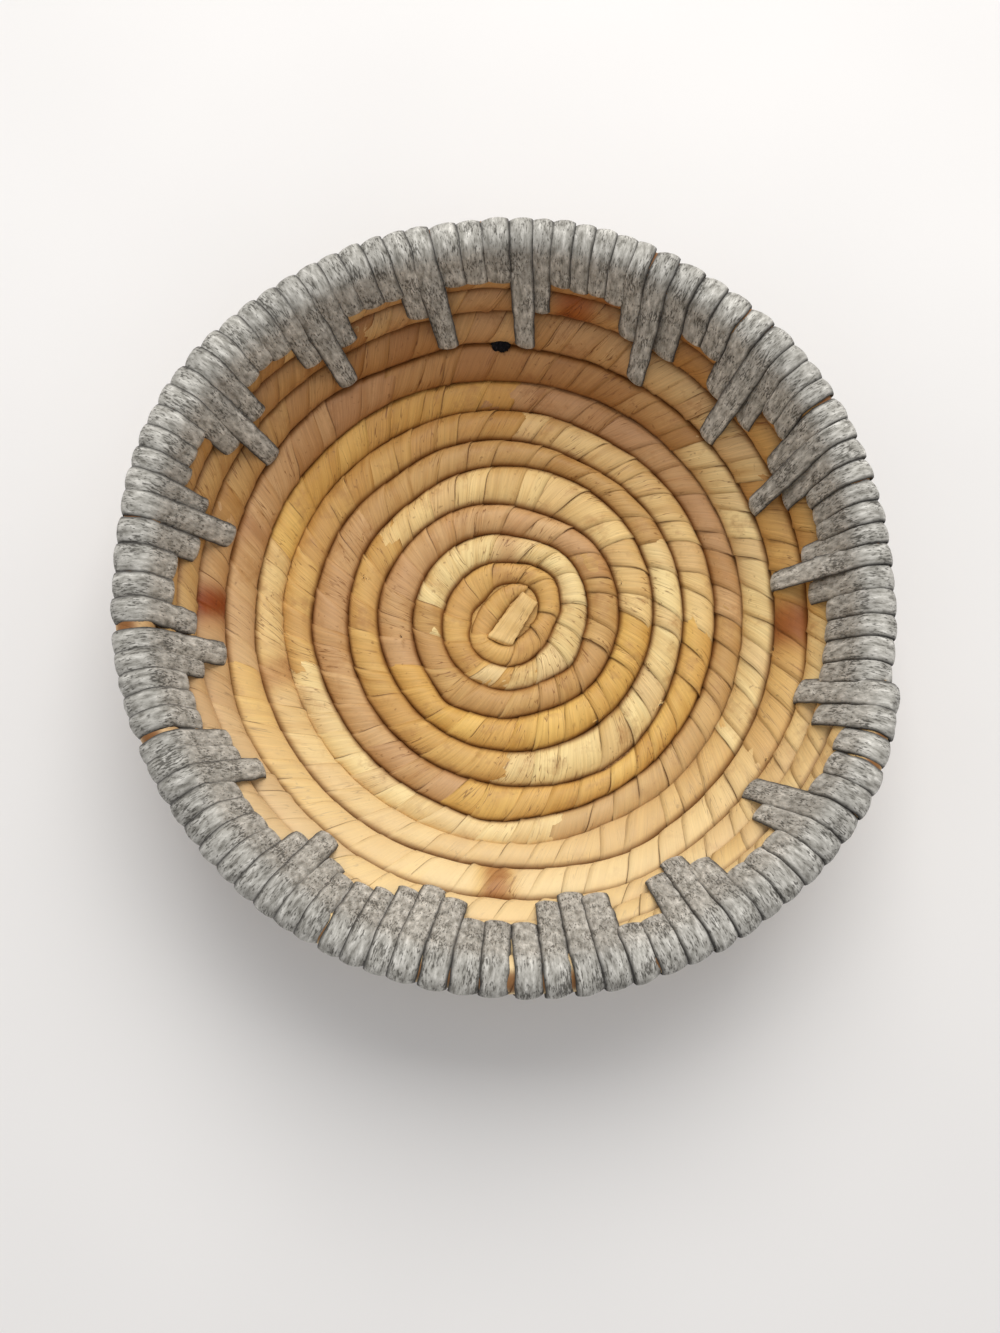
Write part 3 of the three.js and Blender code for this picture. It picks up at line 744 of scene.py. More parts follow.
    # Stained stretches, and painted shade on the far wall: redder and much darker
    darkened = add(tree, "ShaderNodeMix", {0: 1.0, 6: base, 7: linear("#ad6628")},
               data_type="RGBA", blend_type="MULTIPLY").outputs[2]
    stain_and_shade = add(tree, "ShaderNodeClamp", {"Value": given["stain"]}).outputs[0]
    base = add(tree, "ShaderNodeMix", {0: stain_and_shade, 6: base, 7: darkened}, data_type="RGBA").outputs[2]

    # Painted shade: browner where leaf lies in the seam between two turns, near black in tears, and dark
    # along a lifted edge
    # Painted shade in the seam between two turns
    brown = add(tree, "ShaderNodeMapRange", {
        "Value": given["seam"], "From Min": 0.66, "From Max": 0.99, "To Min": 0.0, "To Max": 0.9},
        interpolation_type="SMOOTHSTEP").outputs[0]
    base = add(tree, "ShaderNodeMix", {0: brown, 6: base, 7: linear("#7a4818")},
               data_type="RGBA").outputs[2]
    # Painted shade of the slit under a lifted edge: a dark line along the edge of the windings that the
    # node tree mostly lifts
    rag = add(tree, "ShaderNodeTexNoise", {"W": given["winding"], "Scale": 2.3, "Detail": 2.0},
              noise_dimensions="1D").outputs[0]
    rag = add(tree, "ShaderNodeMapRange", {
        "Value": rag, "From Min": 0.48, "From Max": 0.64, "To Min": 0.06, "To Max": 0.9}).outputs[0]
    rim = add(tree, "ShaderNodeMapRange", {
        "Value": given["leaf_side"],
        "From Min": -0.472, "From Max": -0.5, "To Min": 0.0, "To Max": 1.0}).outputs[0]
    rim = add(tree, "ShaderNodeMath", {0: rim, 1: rag}, operation="MULTIPLY").outputs[0]
    base = add(tree, "ShaderNodeMix", {0: rim, 6: base, 7: linear("#5a371a")}, data_type="RGBA").outputs[2]
    # Near black in a tear: painted shade of its hole
    base = add(tree, "ShaderNodeMix", {0: given["pit"], 6: base, 7: linear("#2c1608")},
               data_type="RGBA").outputs[2]

    shine = add(tree, "ShaderNodeMapRange", {
        "Value": bands, "From Min": 0.3, "From Max": 0.7, "To Min": 0.62, "To Max": 0.45}).outputs[0]
    relief = add(tree, "ShaderNodeBump", {"Strength": 0.5, "Distance": 0.0003, "Height": veins}).outputs[0]
    leaf = add(tree, "ShaderNodeBsdfPrincipled", {
        "Base Color": base, "Roughness": shine, "IOR": 1.45, "Normal": relief,
        "Specular IOR Level": 0.35})
    add(tree, "ShaderNodeOutputMaterial", {"Surface": leaf.outputs[0]})
    return material


def grey_ribbon():
    """Grey mixed-fibre ribbon, pressed flat: matte, cloudy light patches, dark flecks in clusters."""
    material, tree = new_material("pressed fibre ribbon, grey")
    leaf_map = add(tree, "ShaderNodeUVMap", uv_map="leaf_map").outputs[0]
    edge = add(tree, "ShaderNodeAttribute", attribute_name="ribbon_edge").outputs["Fac"]
    # Clouds of light and mid grey, about 4 mm long and 1.5 mm wide
    wide = add(tree, "ShaderNodeVectorMath", {0: leaf_map, 1: (250, 640, 1)},
               operation="MULTIPLY").outputs[0]
    clouds = add(tree, "ShaderNodeTexNoise", {"Vector": wide, "Scale": 1.0, "Detail": 4.0,
                                              "Roughness": 0.62}).outputs[0]
    base = add(tree, "ShaderNodeValToRGB", {0: clouds}, ramp=[
        (0.34, "#817e76"), (0.45, "#a4a199"), (0.57, "#c2bfb7"), (0.7, "#e0ddd5")]).outputs[0]
    # Dark flecks along the ribbon, about 1.5 mm long and 0.4 mm wide, thicker in some places
    stretched = add(tree, "ShaderNodeVectorMath", {0: leaf_map, 1: (650, 2100, 1)},
                    operation="MULTIPLY").outputs[0]
    flecks = add(tree, "ShaderNodeTexNoise", {"Vector": stretched, "Scale": 1.0, "Detail": 2.0,
                                              "Roughness": 0.6}).outputs[0]
    place = add(tree, "ShaderNodeTexCoord").outputs["Object"]
    patch = add(tree, "ShaderNodeTexNoise", {"Vector": place, "Scale": 170.0, "Detail": 2.0}).outputs[0]
    flecked = add(tree, "ShaderNodeMath", {0: patch, 1: 0.55, 2: flecks},
                  operation="MULTIPLY_ADD").outputs[0]
    flecked = add(tree, "ShaderNodeMapRange", {
        "Value": flecked, "From Min": 0.81, "From Max": 0.94, "To Min": 0.0, "To Max": 0.85}).outputs[0]
    base = add(tree, "ShaderNodeMix", {0: flecked, 6: base, 7: linear("#4d4a44")},
               data_type="RGBA").outputs[2]
    # Lighter and darker stretches, about 18 mm across, and painted shade along both edges of every wrap
    tone = add(tree, "ShaderNodeTexNoise", {"Vector": place, "Scale": 55.0, "Detail": 1.0}).outputs[0]
    tone = add(tree, "ShaderNodeMapRange", {
        "Value": tone, "From Min": 0.3, "From Max": 0.7, "To Min": 0.84, "To Max": 1.1}).outputs[0]
    base = add(tree, "ShaderNodeMix", {0: 1.0, 6: base, 7: tone},
               data_type="RGBA", blend_type="MULTIPLY").outputs[2]
    # Painted shade: darker towards both edges of every wrap, where it turns down beside the next
    rim = add(tree, "ShaderNodeMapRange", {
        "Value": edge, "From Min": 0.72, "From Max": 0.97, "To Min": 0.0, "To Max": 0.95}).outputs[0]
    base = add(tree, "ShaderNodeMix", {0: rim, 6: base, 7: linear("#2b2824")}, data_type="RGBA").outputs[2]
    relief = add(tree, "ShaderNodeBump", {"Strength": 0.6, "Distance": 0.0004, "Height": clouds}).outputs[0]
    ribbon = add(tree, "ShaderNodeBsdfPrincipled", {
        "Base Color": base, "Roughness": 0.85, "Normal": relief, "Sheen Weight": 0.1,
        "Sheen Roughness": 0.5, "Specular IOR Level": 0.2})
    add(tree, "ShaderNodeOutputMaterial", {"Surface": ribbon.outputs[0]})
    return material


def rope_fibre():
    """Bundled plant fibre: rough and dark straw, mottled by strands about 1 mm apart."""
    material, tree = new_material("bundled plant fibre")
    place = add(tree, "ShaderNodeTexCoord").outputs["Object"]
    strands = add(tree, "ShaderNodeTexNoise", {"Vector": place, "Scale": 900.0, "Detail": 3.0}).outputs[0]
    base = add(tree, "ShaderNodeValToRGB", {0: strands}, ramp=[
        (0.3, "#4a2f16"), (0.5, "#80592f"), (0.7, "#ad8450")]).outputs[0]
    relief = add(tree, "ShaderNodeBump", {
        "Strength": 0.6, "Distance": 0.0004, "Height": strands}).outputs[0]
    fibre = add(tree, "ShaderNodeBsdfPrincipled", {"Base Color": base, "Roughness": 0.9, "Normal": relief})
    add(tree, "ShaderNodeOutputMaterial", {"Surface": fibre.outputs[0]})
    return material


def black_fibre():
    """Black fibre ends pressed together: nearly matte, with single hairs, 0.6 mm apart, a little paler."""
    material, tree = new_material("tied fibre, black")
    place = add(tree, "ShaderNodeTexCoord").outputs["Object"]
    hairs = add(tree, "ShaderNodeTexNoise", {"Vector": place, "Scale": 1600.0, "Detail": 3.0}).outputs[0]
    base = add(tree, "ShaderNodeValToRGB", {0: hairs}, ramp=[
        (0.35, "#060507"), (0.62, "#121013"), (0.78, "#3a3338")]).outputs[0]
    relief = add(tree, "ShaderNodeBump", {"Strength": 0.8, "Distance": 0.0004, "Height": hairs}).outputs[0]
    fibre = add(tree, "ShaderNodeBsdfPrincipled", {
        "Base Color": base, "Roughness": 0.85, "Normal": relief, "Specular IOR Level": 0.15})
    add(tree, "ShaderNodeOutputMaterial", {"Surface": fibre.outputs[0]})
    return material


def pale_table():
    """Painted table top, nearly white and matte, with a very faint mottle, about 170 mm across."""
    material, tree = new_material("painted table top")
    place = add(tree, "ShaderNodeTexCoord").outputs["Object"]
    mottle = add(tree, "ShaderNodeTexNoise", {"Vector": place, "Scale": 6.0, "Detail": 2.0}).outputs[0]
    base = add(tree, "ShaderNodeValToRGB", {0: mottle}, ramp=[
        (0.3, "#e3e1df"), (0.7, "#e8e6e4")]).outputs[0]
    paint = add(tree, "ShaderNodeBsdfPrincipled", {"Base Color": base, "Roughness": 0.7})
    add(tree, "ShaderNodeOutputMaterial", {"Surface": paint.outputs[0]})
    return material


# Sizes and colours that a user would change

class BasketSizes(bpy.types.PropertyGroup):
    """Sizes of what is wound on the basket."""
    winding_pitch: bpy.props.FloatProperty(
        name="Winding pitch", description="Length of coil that one winding of leaf takes",
        default=0.0095, unit="LENGTH")
    leaf_cover: bpy.props.FloatProperty(
        name="Leaf cover", description="Width of the leaf as a share of the winding pitch", default=1.6)
    leaf_step: bpy.props.FloatProperty(
        name="Leaf step", description="How far one winding stands above the next", default=0.00018,
        unit="LENGTH")
    lifted_edge: bpy.props.FloatProperty(
        name="Lifted edge", description="How far a loose leaf edge stands up", default=0.0006,
        unit="LENGTH")
    leaf_thickness: bpy.props.FloatProperty(
        name="Leaf thickness", description="Thickness of the dried leaf", default=0.00025,
        unit="LENGTH")
    ribbon_width: bpy.props.FloatProperty(
        name="Ribbon width", description="Width of the grey trim ribbon", default=0.0080,
        unit="LENGTH")
    ribbon_thickness: bpy.props.FloatProperty(
        name="Ribbon thickness", description="Thickness of the grey trim ribbon", default=0.0008,
        unit="LENGTH")


class BasketColours(bpy.types.PropertyGroup):
    """Colours of the basket's leaves."""
    straw: bpy.props.FloatVectorProperty(
        name="Straw", description="Straw yellow leaf", subtype="COLOR", default=linear("#e8c788")[:3])
    ochre: bpy.props.FloatVectorProperty(
        name="Ochre", description="Ochre leaf", subtype="COLOR", default=linear("#d8ae68")[:3])
    pale: bpy.props.FloatVectorProperty(
        name="Pale", description="Pale cream leaf", subtype="COLOR", default=linear("#efd598")[:3])
    tan: bpy.props.FloatVectorProperty(
        name="Tan", description="Tan leaf", subtype="COLOR", default=linear("#cda569")[:3])
    rose: bpy.props.FloatVectorProperty(
        name="Rose", description="Pinkish brown leaf", subtype="COLOR", default=linear("#d0a875")[:3])
    golden: bpy.props.FloatVectorProperty(
        name="Golden", description="Golden leaf", subtype="COLOR", default=linear("#e3b968")[:3])


LEAF_KINDS = ("straw", "ochre", "pale", "tan", "rose", "golden")


# The pieces

class BASKET_OT_rope(bpy.types.Operator):
    """Gives the hidden core rope its fibre"""
    bl_idname = "basket.rope"
    bl_label = "Core rope"

    def execute(self, context):
        rope = bpy.data.objects["core_rope"]
        rope.data.materials.clear()
        rope.data.materials.append(rope_fibre())
        return {"FINISHED"}


# Winding the leaf: angles in degrees, lengths in mm, and shares
PATH_START = 100
PATH_STEP = 2.0
PATH_STATIONS_PER_WINDING = 28
TUCK_SHARE = 1.15
PITCH_CHANGE = (0.85, 1.15)
SUNK_START = 0.4
TIP_CLOSING = 1.2
TIP_SHUT = 0.95
TIP_COVER = 1.5
LEAN_AT_START = 0.5
LEAN_ON_WALL = 2.1
LEAN_FROM = 2
LEAN_OVER = 6


class BASKET_OT_leaf_strips(bpy.types.Operator):
    """Winds every leaf strip round its own stretch of the coil"""
    bl_idname = "basket.leaf_strips"
    bl_label = "Leaf strips"

    def execute(self, context):
        sizes, colours = context.scene.basket_sizes, context.scene.basket_colours
        tree = leaf_tree()
        leaves = {
            kind: dried_leaf(f"dried palm leaf, {kind}", getattr(colours, kind)) for kind in LEAF_KINDS}
        ends = strip_ends()
        rng = random.Random(4)
        for strip in range(1, STRIP_COUNT + 1):
            self.wind(strip, ends[strip - 1], ends[strip], sizes, tree, leaves, rng)
        return {"FINISHED"}

    def wind(self, strip, first, last, sizes, tree, leaves, rng):
        """One strip: its path along the coil, then the leaf wound on that path, with its ends tucked in."""
        pitch = sizes.winding_pitch / MM
        tuck = pitch * TUCK_SHARE
        turn = turn_at(first)
        if strip == 1:
            first = TAIL_START
        per_mm = math.degrees(1 / middle_of(turn, first)[0])
        start = first - tuck * per_mm
        end = last + tuck * per_mm
        highest = TOP_START + COIL_END
        cover = sizes.leaf_cover
        if strip == STRIP_COUNT:
            end = highest + TIP_CLOSING
            cover *= TIP_COVER
        count = int((end - start) / PATH_STEP) + 2
        points, along, across, half = [], [], [], []
        for i in range(count):
            degrees = mix(start, end, i / (count - 1))
            inside = clamp(degrees, PATH_START, highest)
            r, z, tilt, half_along, half_across = coil_section(inside)
            point = put(r, z, inside)
            if degrees != inside:
                ahead = put(*middle_of(turn_at(inside + 0.5), inside + 0.5), inside + 0.5)
                behind = put(*middle_of(turn_at(inside - 0.5), inside - 0.5), inside - 0.5)
                point += (ahead - behind).normalized() * math.radians(degrees - inside) * r * MM
            along_wall, across_wall = directions(tilt, inside)
            sunk = SUNK_START * smooth(first - degrees, 0, first - start) if strip > 1 else 0.0
            shut = 1 - TIP_SHUT * smooth(degrees, highest, highest + TIP_CLOSING)
            points.append(point)
            along.append(along_wall)
            across.append(across_wall)
            half.append((
                (half_along - sunk) * shut * MM, (half_across - sunk) * shut * MM, stain_and_painted_light_at(inside)))
        obj = path_object(f"leaf_wound_{strip:02d}", points,
                          {"along": along, "across": across, "half": half})
        length = sum((b - a).length for a, b in zip(points, points[1:])) / MM
        windings = max(2, round((length - 2 * tuck) / (pitch * rng.uniform(*PITCH_CHANGE))))
        lean = mix(LEAN_AT_START, LEAN_ON_WALL, clamp((turn - LEAN_FROM) / LEAN_OVER)) * MM
        kind = LEAF_KINDS[strip % len(LEAF_KINDS)]
        grown(obj, tree, **{
            "Windings": float(windings), "Tuck": tuck * MM, "Cover": cover,
            "Leaf step": sizes.leaf_step, "Lifted edge": sizes.lifted_edge,
            "Lump height": 0.0009, "Lump size": 120.0, "Wander": 0.011, "Squareness": 0.93,
            "Columns": PATH_STATIONS_PER_WINDING * windings + 1, "Rows": 8, "Seed": strip * 7.31,
            "Lean": lean, "Leaf": leaves[kind]})
        thickened(obj, sizes.leaf_thickness)
        for degrees, side in FRAYS:
            if first <= degrees < last:
                fray(obj, degrees, side, random.Random(degrees))
        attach(obj, "root")
        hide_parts(f"leaf_strip_{strip:02d}")


def outer_hull(points):
    """Convex outline of points in a plane, anticlockwise."""
    points = sorted(points)
    halves = []
    for row in (points, points[::-1]):
        chain = []
        for p in row:
            while len(chain) > 1 and ((chain[-1][0] - chain[-2][0]) * (p[1] - chain[-2][1])
                                      <= (chain[-1][1] - chain[-2][1]) * (p[0] - chain[-2][0])):
                chain.pop()
            chain.append(p)
        halves.append(chain[:-1])
    return halves[0] + halves[1]


# Each long stitch: its angle at the rim, at its lower end, and the kinds of the wraps up to the next one
LONG_STITCHES = [
    (5.9, 6.8, "LMSSSM"), (26.3, 23.5, "LMSSM"), (43.7, 41.5, "LMSSM"), (65.6, 61.9, "LMSSSSM"),
    (89.0, 87.0, "LSSS"), (105.4, 102.6, "LMSSSM"), (126.8, 125.1, "LMSSSM"), (148.2, 147.5, "LMSSSM"),
    (168.1, 166.2, "LMSSM"), (189.0, 190.1, "LMSSSMM"), (211.8, 214.4, "LSSSSM"), (233.1, 232.7, "LMSSMM"),
    (254.0, 255.0, "LMSSSM"), (280.3, 281.4, "LMSSM"), (299.9, 302.2, "LMSSSM"), (322.9, 322.2, "LSSSM"),
    (343.0, 343.0, "LSSSSM"),
]
WRAPS_PER_RIBBON = 20
WRAP_SPACING = 3.7

# Turns below the top one at which the short, medium and long stitches end, by angle at the rim
REACHES = [
    (0, 1.55, 2.15, 3.4), (12, 1.45, 2.2, 3.4), (24, 1.4, 2.35, 3.35), (35, 1.2, 2.15, 3.3),
    (60, 1.2, 2.3, 3.33), (78, 1.12, 2.3, 3.4), (95, 1.1, 2.2, 3.45), (105, 1.05, 2.1, 3.3),
    (120, 1.0, 1.95, 3.25), (135, 0.95, 1.95, 3.25), (148, 0.85, 2.0, 3.6), (157, 0.75, 2.0, 3.4),
    (168, 0.95, 1.95, 3.25), (176, 1.05, 2.05, 3.2), (190, 1.2, 2.15, 3.2), (199, 1.3, 2.3, 3.1),
    (208, 1.45, 2.5, 3.0), (215, 1.55, 2.55, 2.95), (225, 1.6, 2.4, 3.05), (233, 1.65, 2.45, 3.15),
    (243, 2.0, 2.55, 3.2), (255, 2.05, 2.75, 3.25), (270, 2.05, 2.9, 3.35), (281, 1.6, 3.05, 3.45),
    (287, 0.85, 2.95, 3.4), (300, 0.85, 2.65, 3.2), (312, 0.9, 2.35, 3.3), (323, 0.8, 2.15, 3.35),
    (335, 0.75, 2.1, 3.45), (345.5, 0.75, 2.1, 3.5), (346.5, 1.6, 1.9, 3.4), (360, 1.55, 2.15, 3.4),
]
KINDS = "SML"
FULL_REACH = 3.5

# Angles at the rim where two wraps stand apart and the leaf shows between them, and how far each moves
GAPS = [(31.5, 0.3), (67.5, 0.3), (187, 0.4), (203.7, 0.5), (241.8, 0.15), (269.3, 0.25), (333, 0.5),
        (337, 0.2)]
GAP_SIDE = 2.4
GAP_NARROWING = 0.12

# How far the ribbon's middle lies off the coil's section, in mm, how square it bends round it, how many
# turns below a stitch's end still shape it, and the length between two rows of its path, in mm
RIBBON_STAND = 0.55
BEND_SQUARENESS = 0.8
BEND_CORNERS = 40
BEND_MARGIN = 0.3
CORNER_SOFTENING = 4
ROW_STEP = 1.0

# Of two points that are as low, in mm, the outer one counts as the lowest of a wrap
OUTER_FIRST = 0.01

# Past its lowest point a wrap turns up again, where it first nears this share of its outermost place
TURNED_SHARE = 0.8

# What differs by hand from wrap to wrap, lowest and highest: turns, degrees, a share of the width, and mm
REACH_CHANGE = (-0.06, 0.06)
LEAN_CHANGE = (-0.4, 0.4)
WIDTH_CHANGE = (0.95, 1.05)
LIFT = (-0.1, 0.2)
TWIST = (0.15, 0.6)

# How wide a wrap is at most, as a share of its room, how wide the medium and the long stitches still are
# at their lower ends, where round the rim the long ones' ends grow wider, and how much an edge wavers
OVERLAP = 1.12
MEDIUM_END = 0.96
LONG_ENDS = (0.82, 0.95)
LONG_ENDS_WIDEN = (130, 190)
EDGE_WAVER = 0.09


def reach_at(degrees, kind):
    """How many turns below the top one a stitch of this kind ends."""
    place = degrees % 360
    column = 1 + KINDS.index(kind)
    for low, high in zip(REACHES, REACHES[1:]):
        if place <= high[0]:
            return mix(low[column], high[column], (place - low[0]) / (high[0] - low[0]))
    raise ValueError(f"no reach at {degrees} degrees")


def end_width(degrees, kind):
    """Width of a stitch at its lower end, as a share of its width at the rim."""
    if kind == "S":
        return 1.0
    if kind == "M":
        return MEDIUM_END
    return mix(*LONG_ENDS, smooth(degrees % 360, *LONG_ENDS_WIDEN))


def ribbon_wraps():
    """Every wrap of the trim in order: its angle at the rim, how far it leans and its kind."""
    wraps = []
    for i, (angle, end, kinds) in enumerate(LONG_STITCHES):
        following, following_end, _ = LONG_STITCHES[(i + 1) % len(LONG_STITCHES)]
        lap = 360 if following < angle else 0
        for k, kind in enumerate(kinds):
            degrees = mix(angle, following + lap, k / len(kinds))
            lean = mix(end - angle, following_end - following, k / len(kinds))
            wraps.append((degrees - 360 if degrees > COIL_END + 1 else degrees, lean, kind))
    return sorted(wraps)


def even_loop(points, step):
    """Points at even steps round a closed outline, with its corners softened."""
    runs = [0.0]
    for a, b in zip(points, points[1:] + points[:1]):
        runs.append(runs[-1] + (b - a).length)
    count = round(runs[-1] / step)
    loop = []
    j = 0
    for k in range(count):
        wanted = runs[-1] * k / count
        while runs[j + 1] < wanted:
            j += 1
        part = (wanted - runs[j]) / (runs[j + 1] - runs[j])
        loop.append(points[j].lerp(points[(j + 1) % len(points)], part))
    for _ in range(CORNER_SOFTENING):
        loop = [(loop[k - 1] + loop[k] * 2 + loop[(k + 1) % count]) / 4 for k in range(count)]
    return loop


def bound_turns(degrees, reach):
    """Middles of the turns under a wrap, from the top one down, and the ribbon's outline round them."""
    outline, middles = [], []
    for below in range(math.ceil(reach) + 1):
        r, z, tilt, half_along, half_across = coil_section(degrees + 360 * (LAST_TURN - below))
        middles.append(Vector((r, z)))
        if below > reach + BEND_MARGIN:
            break
        for corner in range(BEND_CORNERS):
            angle = math.tau * corner / BEND_CORNERS
            c = math.cos(angle)
            s = math.sin(angle)
            a = (half_along + RIBBON_STAND) * math.copysign(abs(c) ** BEND_SQUARENESS, c)
            b = (half_across + RIBBON_STAND) * math.copysign(abs(s) ** BEND_SQUARENESS, s)
            outline.append((r + a * math.cos(tilt) - b * math.sin(tilt),
                            z + a * math.sin(tilt) + b * math.cos(tilt)))
    return middles, outer_hull(outline)


def part_above(outline, cut):
    """The part of a closed outline that lies above a height."""
    kept = []
    for a, b in zip(outline, outline[1:] + outline[:1]):
        if a.x >= cut:
            kept.append(a)
        if (a.x - cut) * (b.x - cut) < 0:
            kept.append(a.lerp(b, (cut - a.x) / (b.x - a.x)))
    return kept


class BASKET_OT_trim_ribbon(bpy.types.Operator):
    """Winds the grey ribbon over the rim, one piece for each working length"""
    bl_idname = "basket.trim_ribbon"
    bl_label = "Trim ribbon"

    def execute(self, context):
        sizes = context.scene.basket_sizes
        tree = ribbon_tree()
        material = grey_ribbon()
        wraps = ribbon_wraps()
        rng = random.Random(11)
        rise = []
        for number, first in enumerate(range(0, len(wraps), WRAPS_PER_RIBBON), 1):
            rows = rise
            for i in range(first, min(first + WRAPS_PER_RIBBON, len(wraps))):
                before = wraps[i - 1][0] if i else wraps[0][0] - WRAP_SPACING
                after = wraps[i + 1][0] if i + 1 < len(wraps) else wraps[i][0] + WRAP_SPACING
                fall, rise = self.loop(wraps[i], before, after, sizes, rng)
                rows = rows + fall + rise
            rows = rows[:len(rows) - len(rise)]
            self.lay(number, rows, sizes, tree, material)
        return {"FINISHED"}

    def loop(self, wrap, before, after, sizes, rng):
        """One wrap in two runs of rows: over the rim and down inside, then back up outside."""
        degrees, lean, kind = wrap
        reach = reach_at(degrees, kind) + rng.uniform(*REACH_CHANGE)
        middles, outline = bound_turns(degrees, reach)
        top = middles[0]
        below = math.floor(reach)
        end = middles[below].lerp(middles[below + 1], reach - below)
        slope = (top - end).normalized()
        inside = Vector((-slope.y, slope.x))
        cut = (end - top).dot(slope)
        # In wall directions, x up the wall and y out of its inner face, cut off where the stitch ends
        flat = [Vector(((Vector(p) - top).dot(slope), (Vector(p) - top).dot(inside))) for p in outline]
        kept = part_above(flat, cut)
        # The outline runs from the rim down inside; start it outside, level with the top turn
        start = min((i for i, p in enumerate(kept) if p.y <= 0), key=lambda i: abs(kept[i].x))
        loop = even_loop(kept[start:] + kept[:start], ROW_STEP)
        count = len(loop)
        lowest = max(range(count), key=lambda k: -loop[k].x + (loop[k].y < 0) * OUTER_FIRST)
        outside = min(p.y for p in loop)
        turned = next(k for k in range(lowest, count) if loop[k].y < outside * TURNED_SHARE)
        lean += rng.uniform(*LEAN_CHANGE)
        room = math.radians(after - before) / 2
        width = min(sizes.ribbon_width / MM, room * top.x * OVERLAP) * rng.uniform(*WIDTH_CHANGE)
        lift = rng.uniform(*LIFT)
        twist = rng.uniform(*TWIST)
        narrow = end_width(degrees, kind)
        aside = 0.0
        for gap, move in GAPS:
            away = (degrees - gap + 180) % 360 - 180
            if abs(away) < GAP_SIDE:
                aside = math.copysign(move, away)
                width *= 1 - GAP_NARROWING * move
        rows = []
        for k, spot in enumerate(loop):
            ahead = loop[(k + 1) % count] - loop[k - 1]
            out = Vector((ahead.y, -ahead.x)).normalized()
            down = clamp(spot.x / cut)
            angle = degrees + aside * (1 - down) + lean * down * reach / FULL_REACH
            if k > turned:
                angle = mix(degrees + lean * reach / FULL_REACH, after, smooth(1 - down, 0, 1))
            r = top.x + spot.x * slope.x + spot.y * inside.x
            z = top.y + spot.x * slope.y + spot.y * inside.y
            waver = 1 + EDGE_WAVER * noise.noise(Vector((degrees, k / 5, 0)))
            here = width * mix(1.0, narrow, down ** 2) * waver
            rows.append((r, z, angle, out.x * slope.x + out.y * inside.x,
                         out.x * slope.y + out.y * inside.y, here, lift, twist))
        return rows[:turned], rows[turned:]

    def lay(self, number, rows, sizes, tree, material):
        """One working length of ribbon, laid along its rows."""
        points, outwards, sideways, numbers = [], [], [], []
        for r, z, angle, out_r, out_z, width, lift, twist in rows:
            a = math.radians(angle)
            out = Vector((out_r * math.cos(a), out_r * math.sin(a), out_z)).normalized()
            points.append(put(r, z, angle) + out * (lift * MM))
            outwards.append(out)
            numbers.append((width / 2 * MM, 1.0, twist * MM))
        for k, out in enumerate(outwards):
            ahead = points[min(k + 1, len(points) - 1)] - points[max(k - 1, 0)]
            sideways.append(out.cross(ahead).normalized())
        for end in (0, -1):
            numbers[end] = (0.0, 0.0, 0.0)
        obj = path_object(f"ribbon_laid_{number}", points,
                          {"sideways": sideways, "outwards": outwards, "sizes": numbers})
        grown(obj, tree, **{
            "Thickness": sizes.ribbon_thickness, "Crown": 0.0007, "Unevenness": 0.0004,
            "Unevenness size": 300.0, "Columns": len(points) + 1, "Rows": 19,
            "Seed": number * 3.7, "Ribbon": material})
        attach(obj, "root")
        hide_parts(f"trim_ribbon_{number}")


# The folded strip: its angle in degrees, and in mm its ends, middles and half widths from left to right
FOLD_ANGLE = 52.7
FOLD_ENDS = (-7.5, 9.0)
FOLD_MIDDLES = (-2.5, -1.6)
FOLD_HALF_WIDTHS = (3.9, 3.0)
FOLD_SLANT = 0.3
FOLD_LAYERS = (4.9, 5.8, 6.8)
FOLD_STATIONS = 17
FOLD_BEND = 0.5

# How far its layers wave up and down, in mm, and as shares how its width wavers, and its last width and
# thickness
FOLD_WAVE = 0.12
FOLD_WAVER = 0.03
FOLD_LAST_WIDTH = 0.97
FOLD_LAST_THICKNESS = 0.2

# The cushion beside it: place along and across the fold, half width, all in mm
CUSHION = [
    (11.2, 0.6, 1.2), (9.8, 2.6, 2.0), (7.2, 4.2, 2.7), (3.8, 5.2, 3.3), (0.0, 5.4, 3.6), (-4.0, 5.2, 3.6),
    (-7.8, 4.4, 3.5), (-10.6, 2.8, 3.4), (-12.0, 0.6, 3.3),
]
CUSHION_STATIONS = 41
CUSHION_WINDINGS = 3
CUSHION_STATIONS_PER_WINDING = 32
CUSHION_MIDDLE = 3.0
CUSHION_HALF_HEIGHT = 2.7
CUSHION_THINNING = 0.7
CUSHION_WIDEST = 3.6

# The slab under both: its top, its top at the edge, its underside, how far it passes under the first turn
SLAB_TOP = 4.4
SLAB_EDGE = 4.0
SLAB_UNDERSIDE = 0.3
SLAB_BUMPS = 0.3
SLAB_LAP = 0.8
SLAB_RINGS = 6
SLAB_SPOKES = 60


def beside_fold(x, y, z):
    """A point in metres from its place along the fold, across it and its height."""
    a = math.radians(FOLD_ANGLE)
    return Vector((x * math.cos(a) - y * math.sin(a), x * math.sin(a) + y * math.cos(a), z)) * MM


def joined(first, second):
    """Add the mesh of the second object to the first."""
    both = bmesh.new()
    both.from_mesh(first.data)
    both.from_mesh(second.data)
    both.faces.ensure_lookup_table()
    slot = both.faces[0].material_index
    for face in both.faces:
        face.material_index = slot
    both.to_mesh(first.data)
    both.free()
    bpy.data.objects.remove(second)


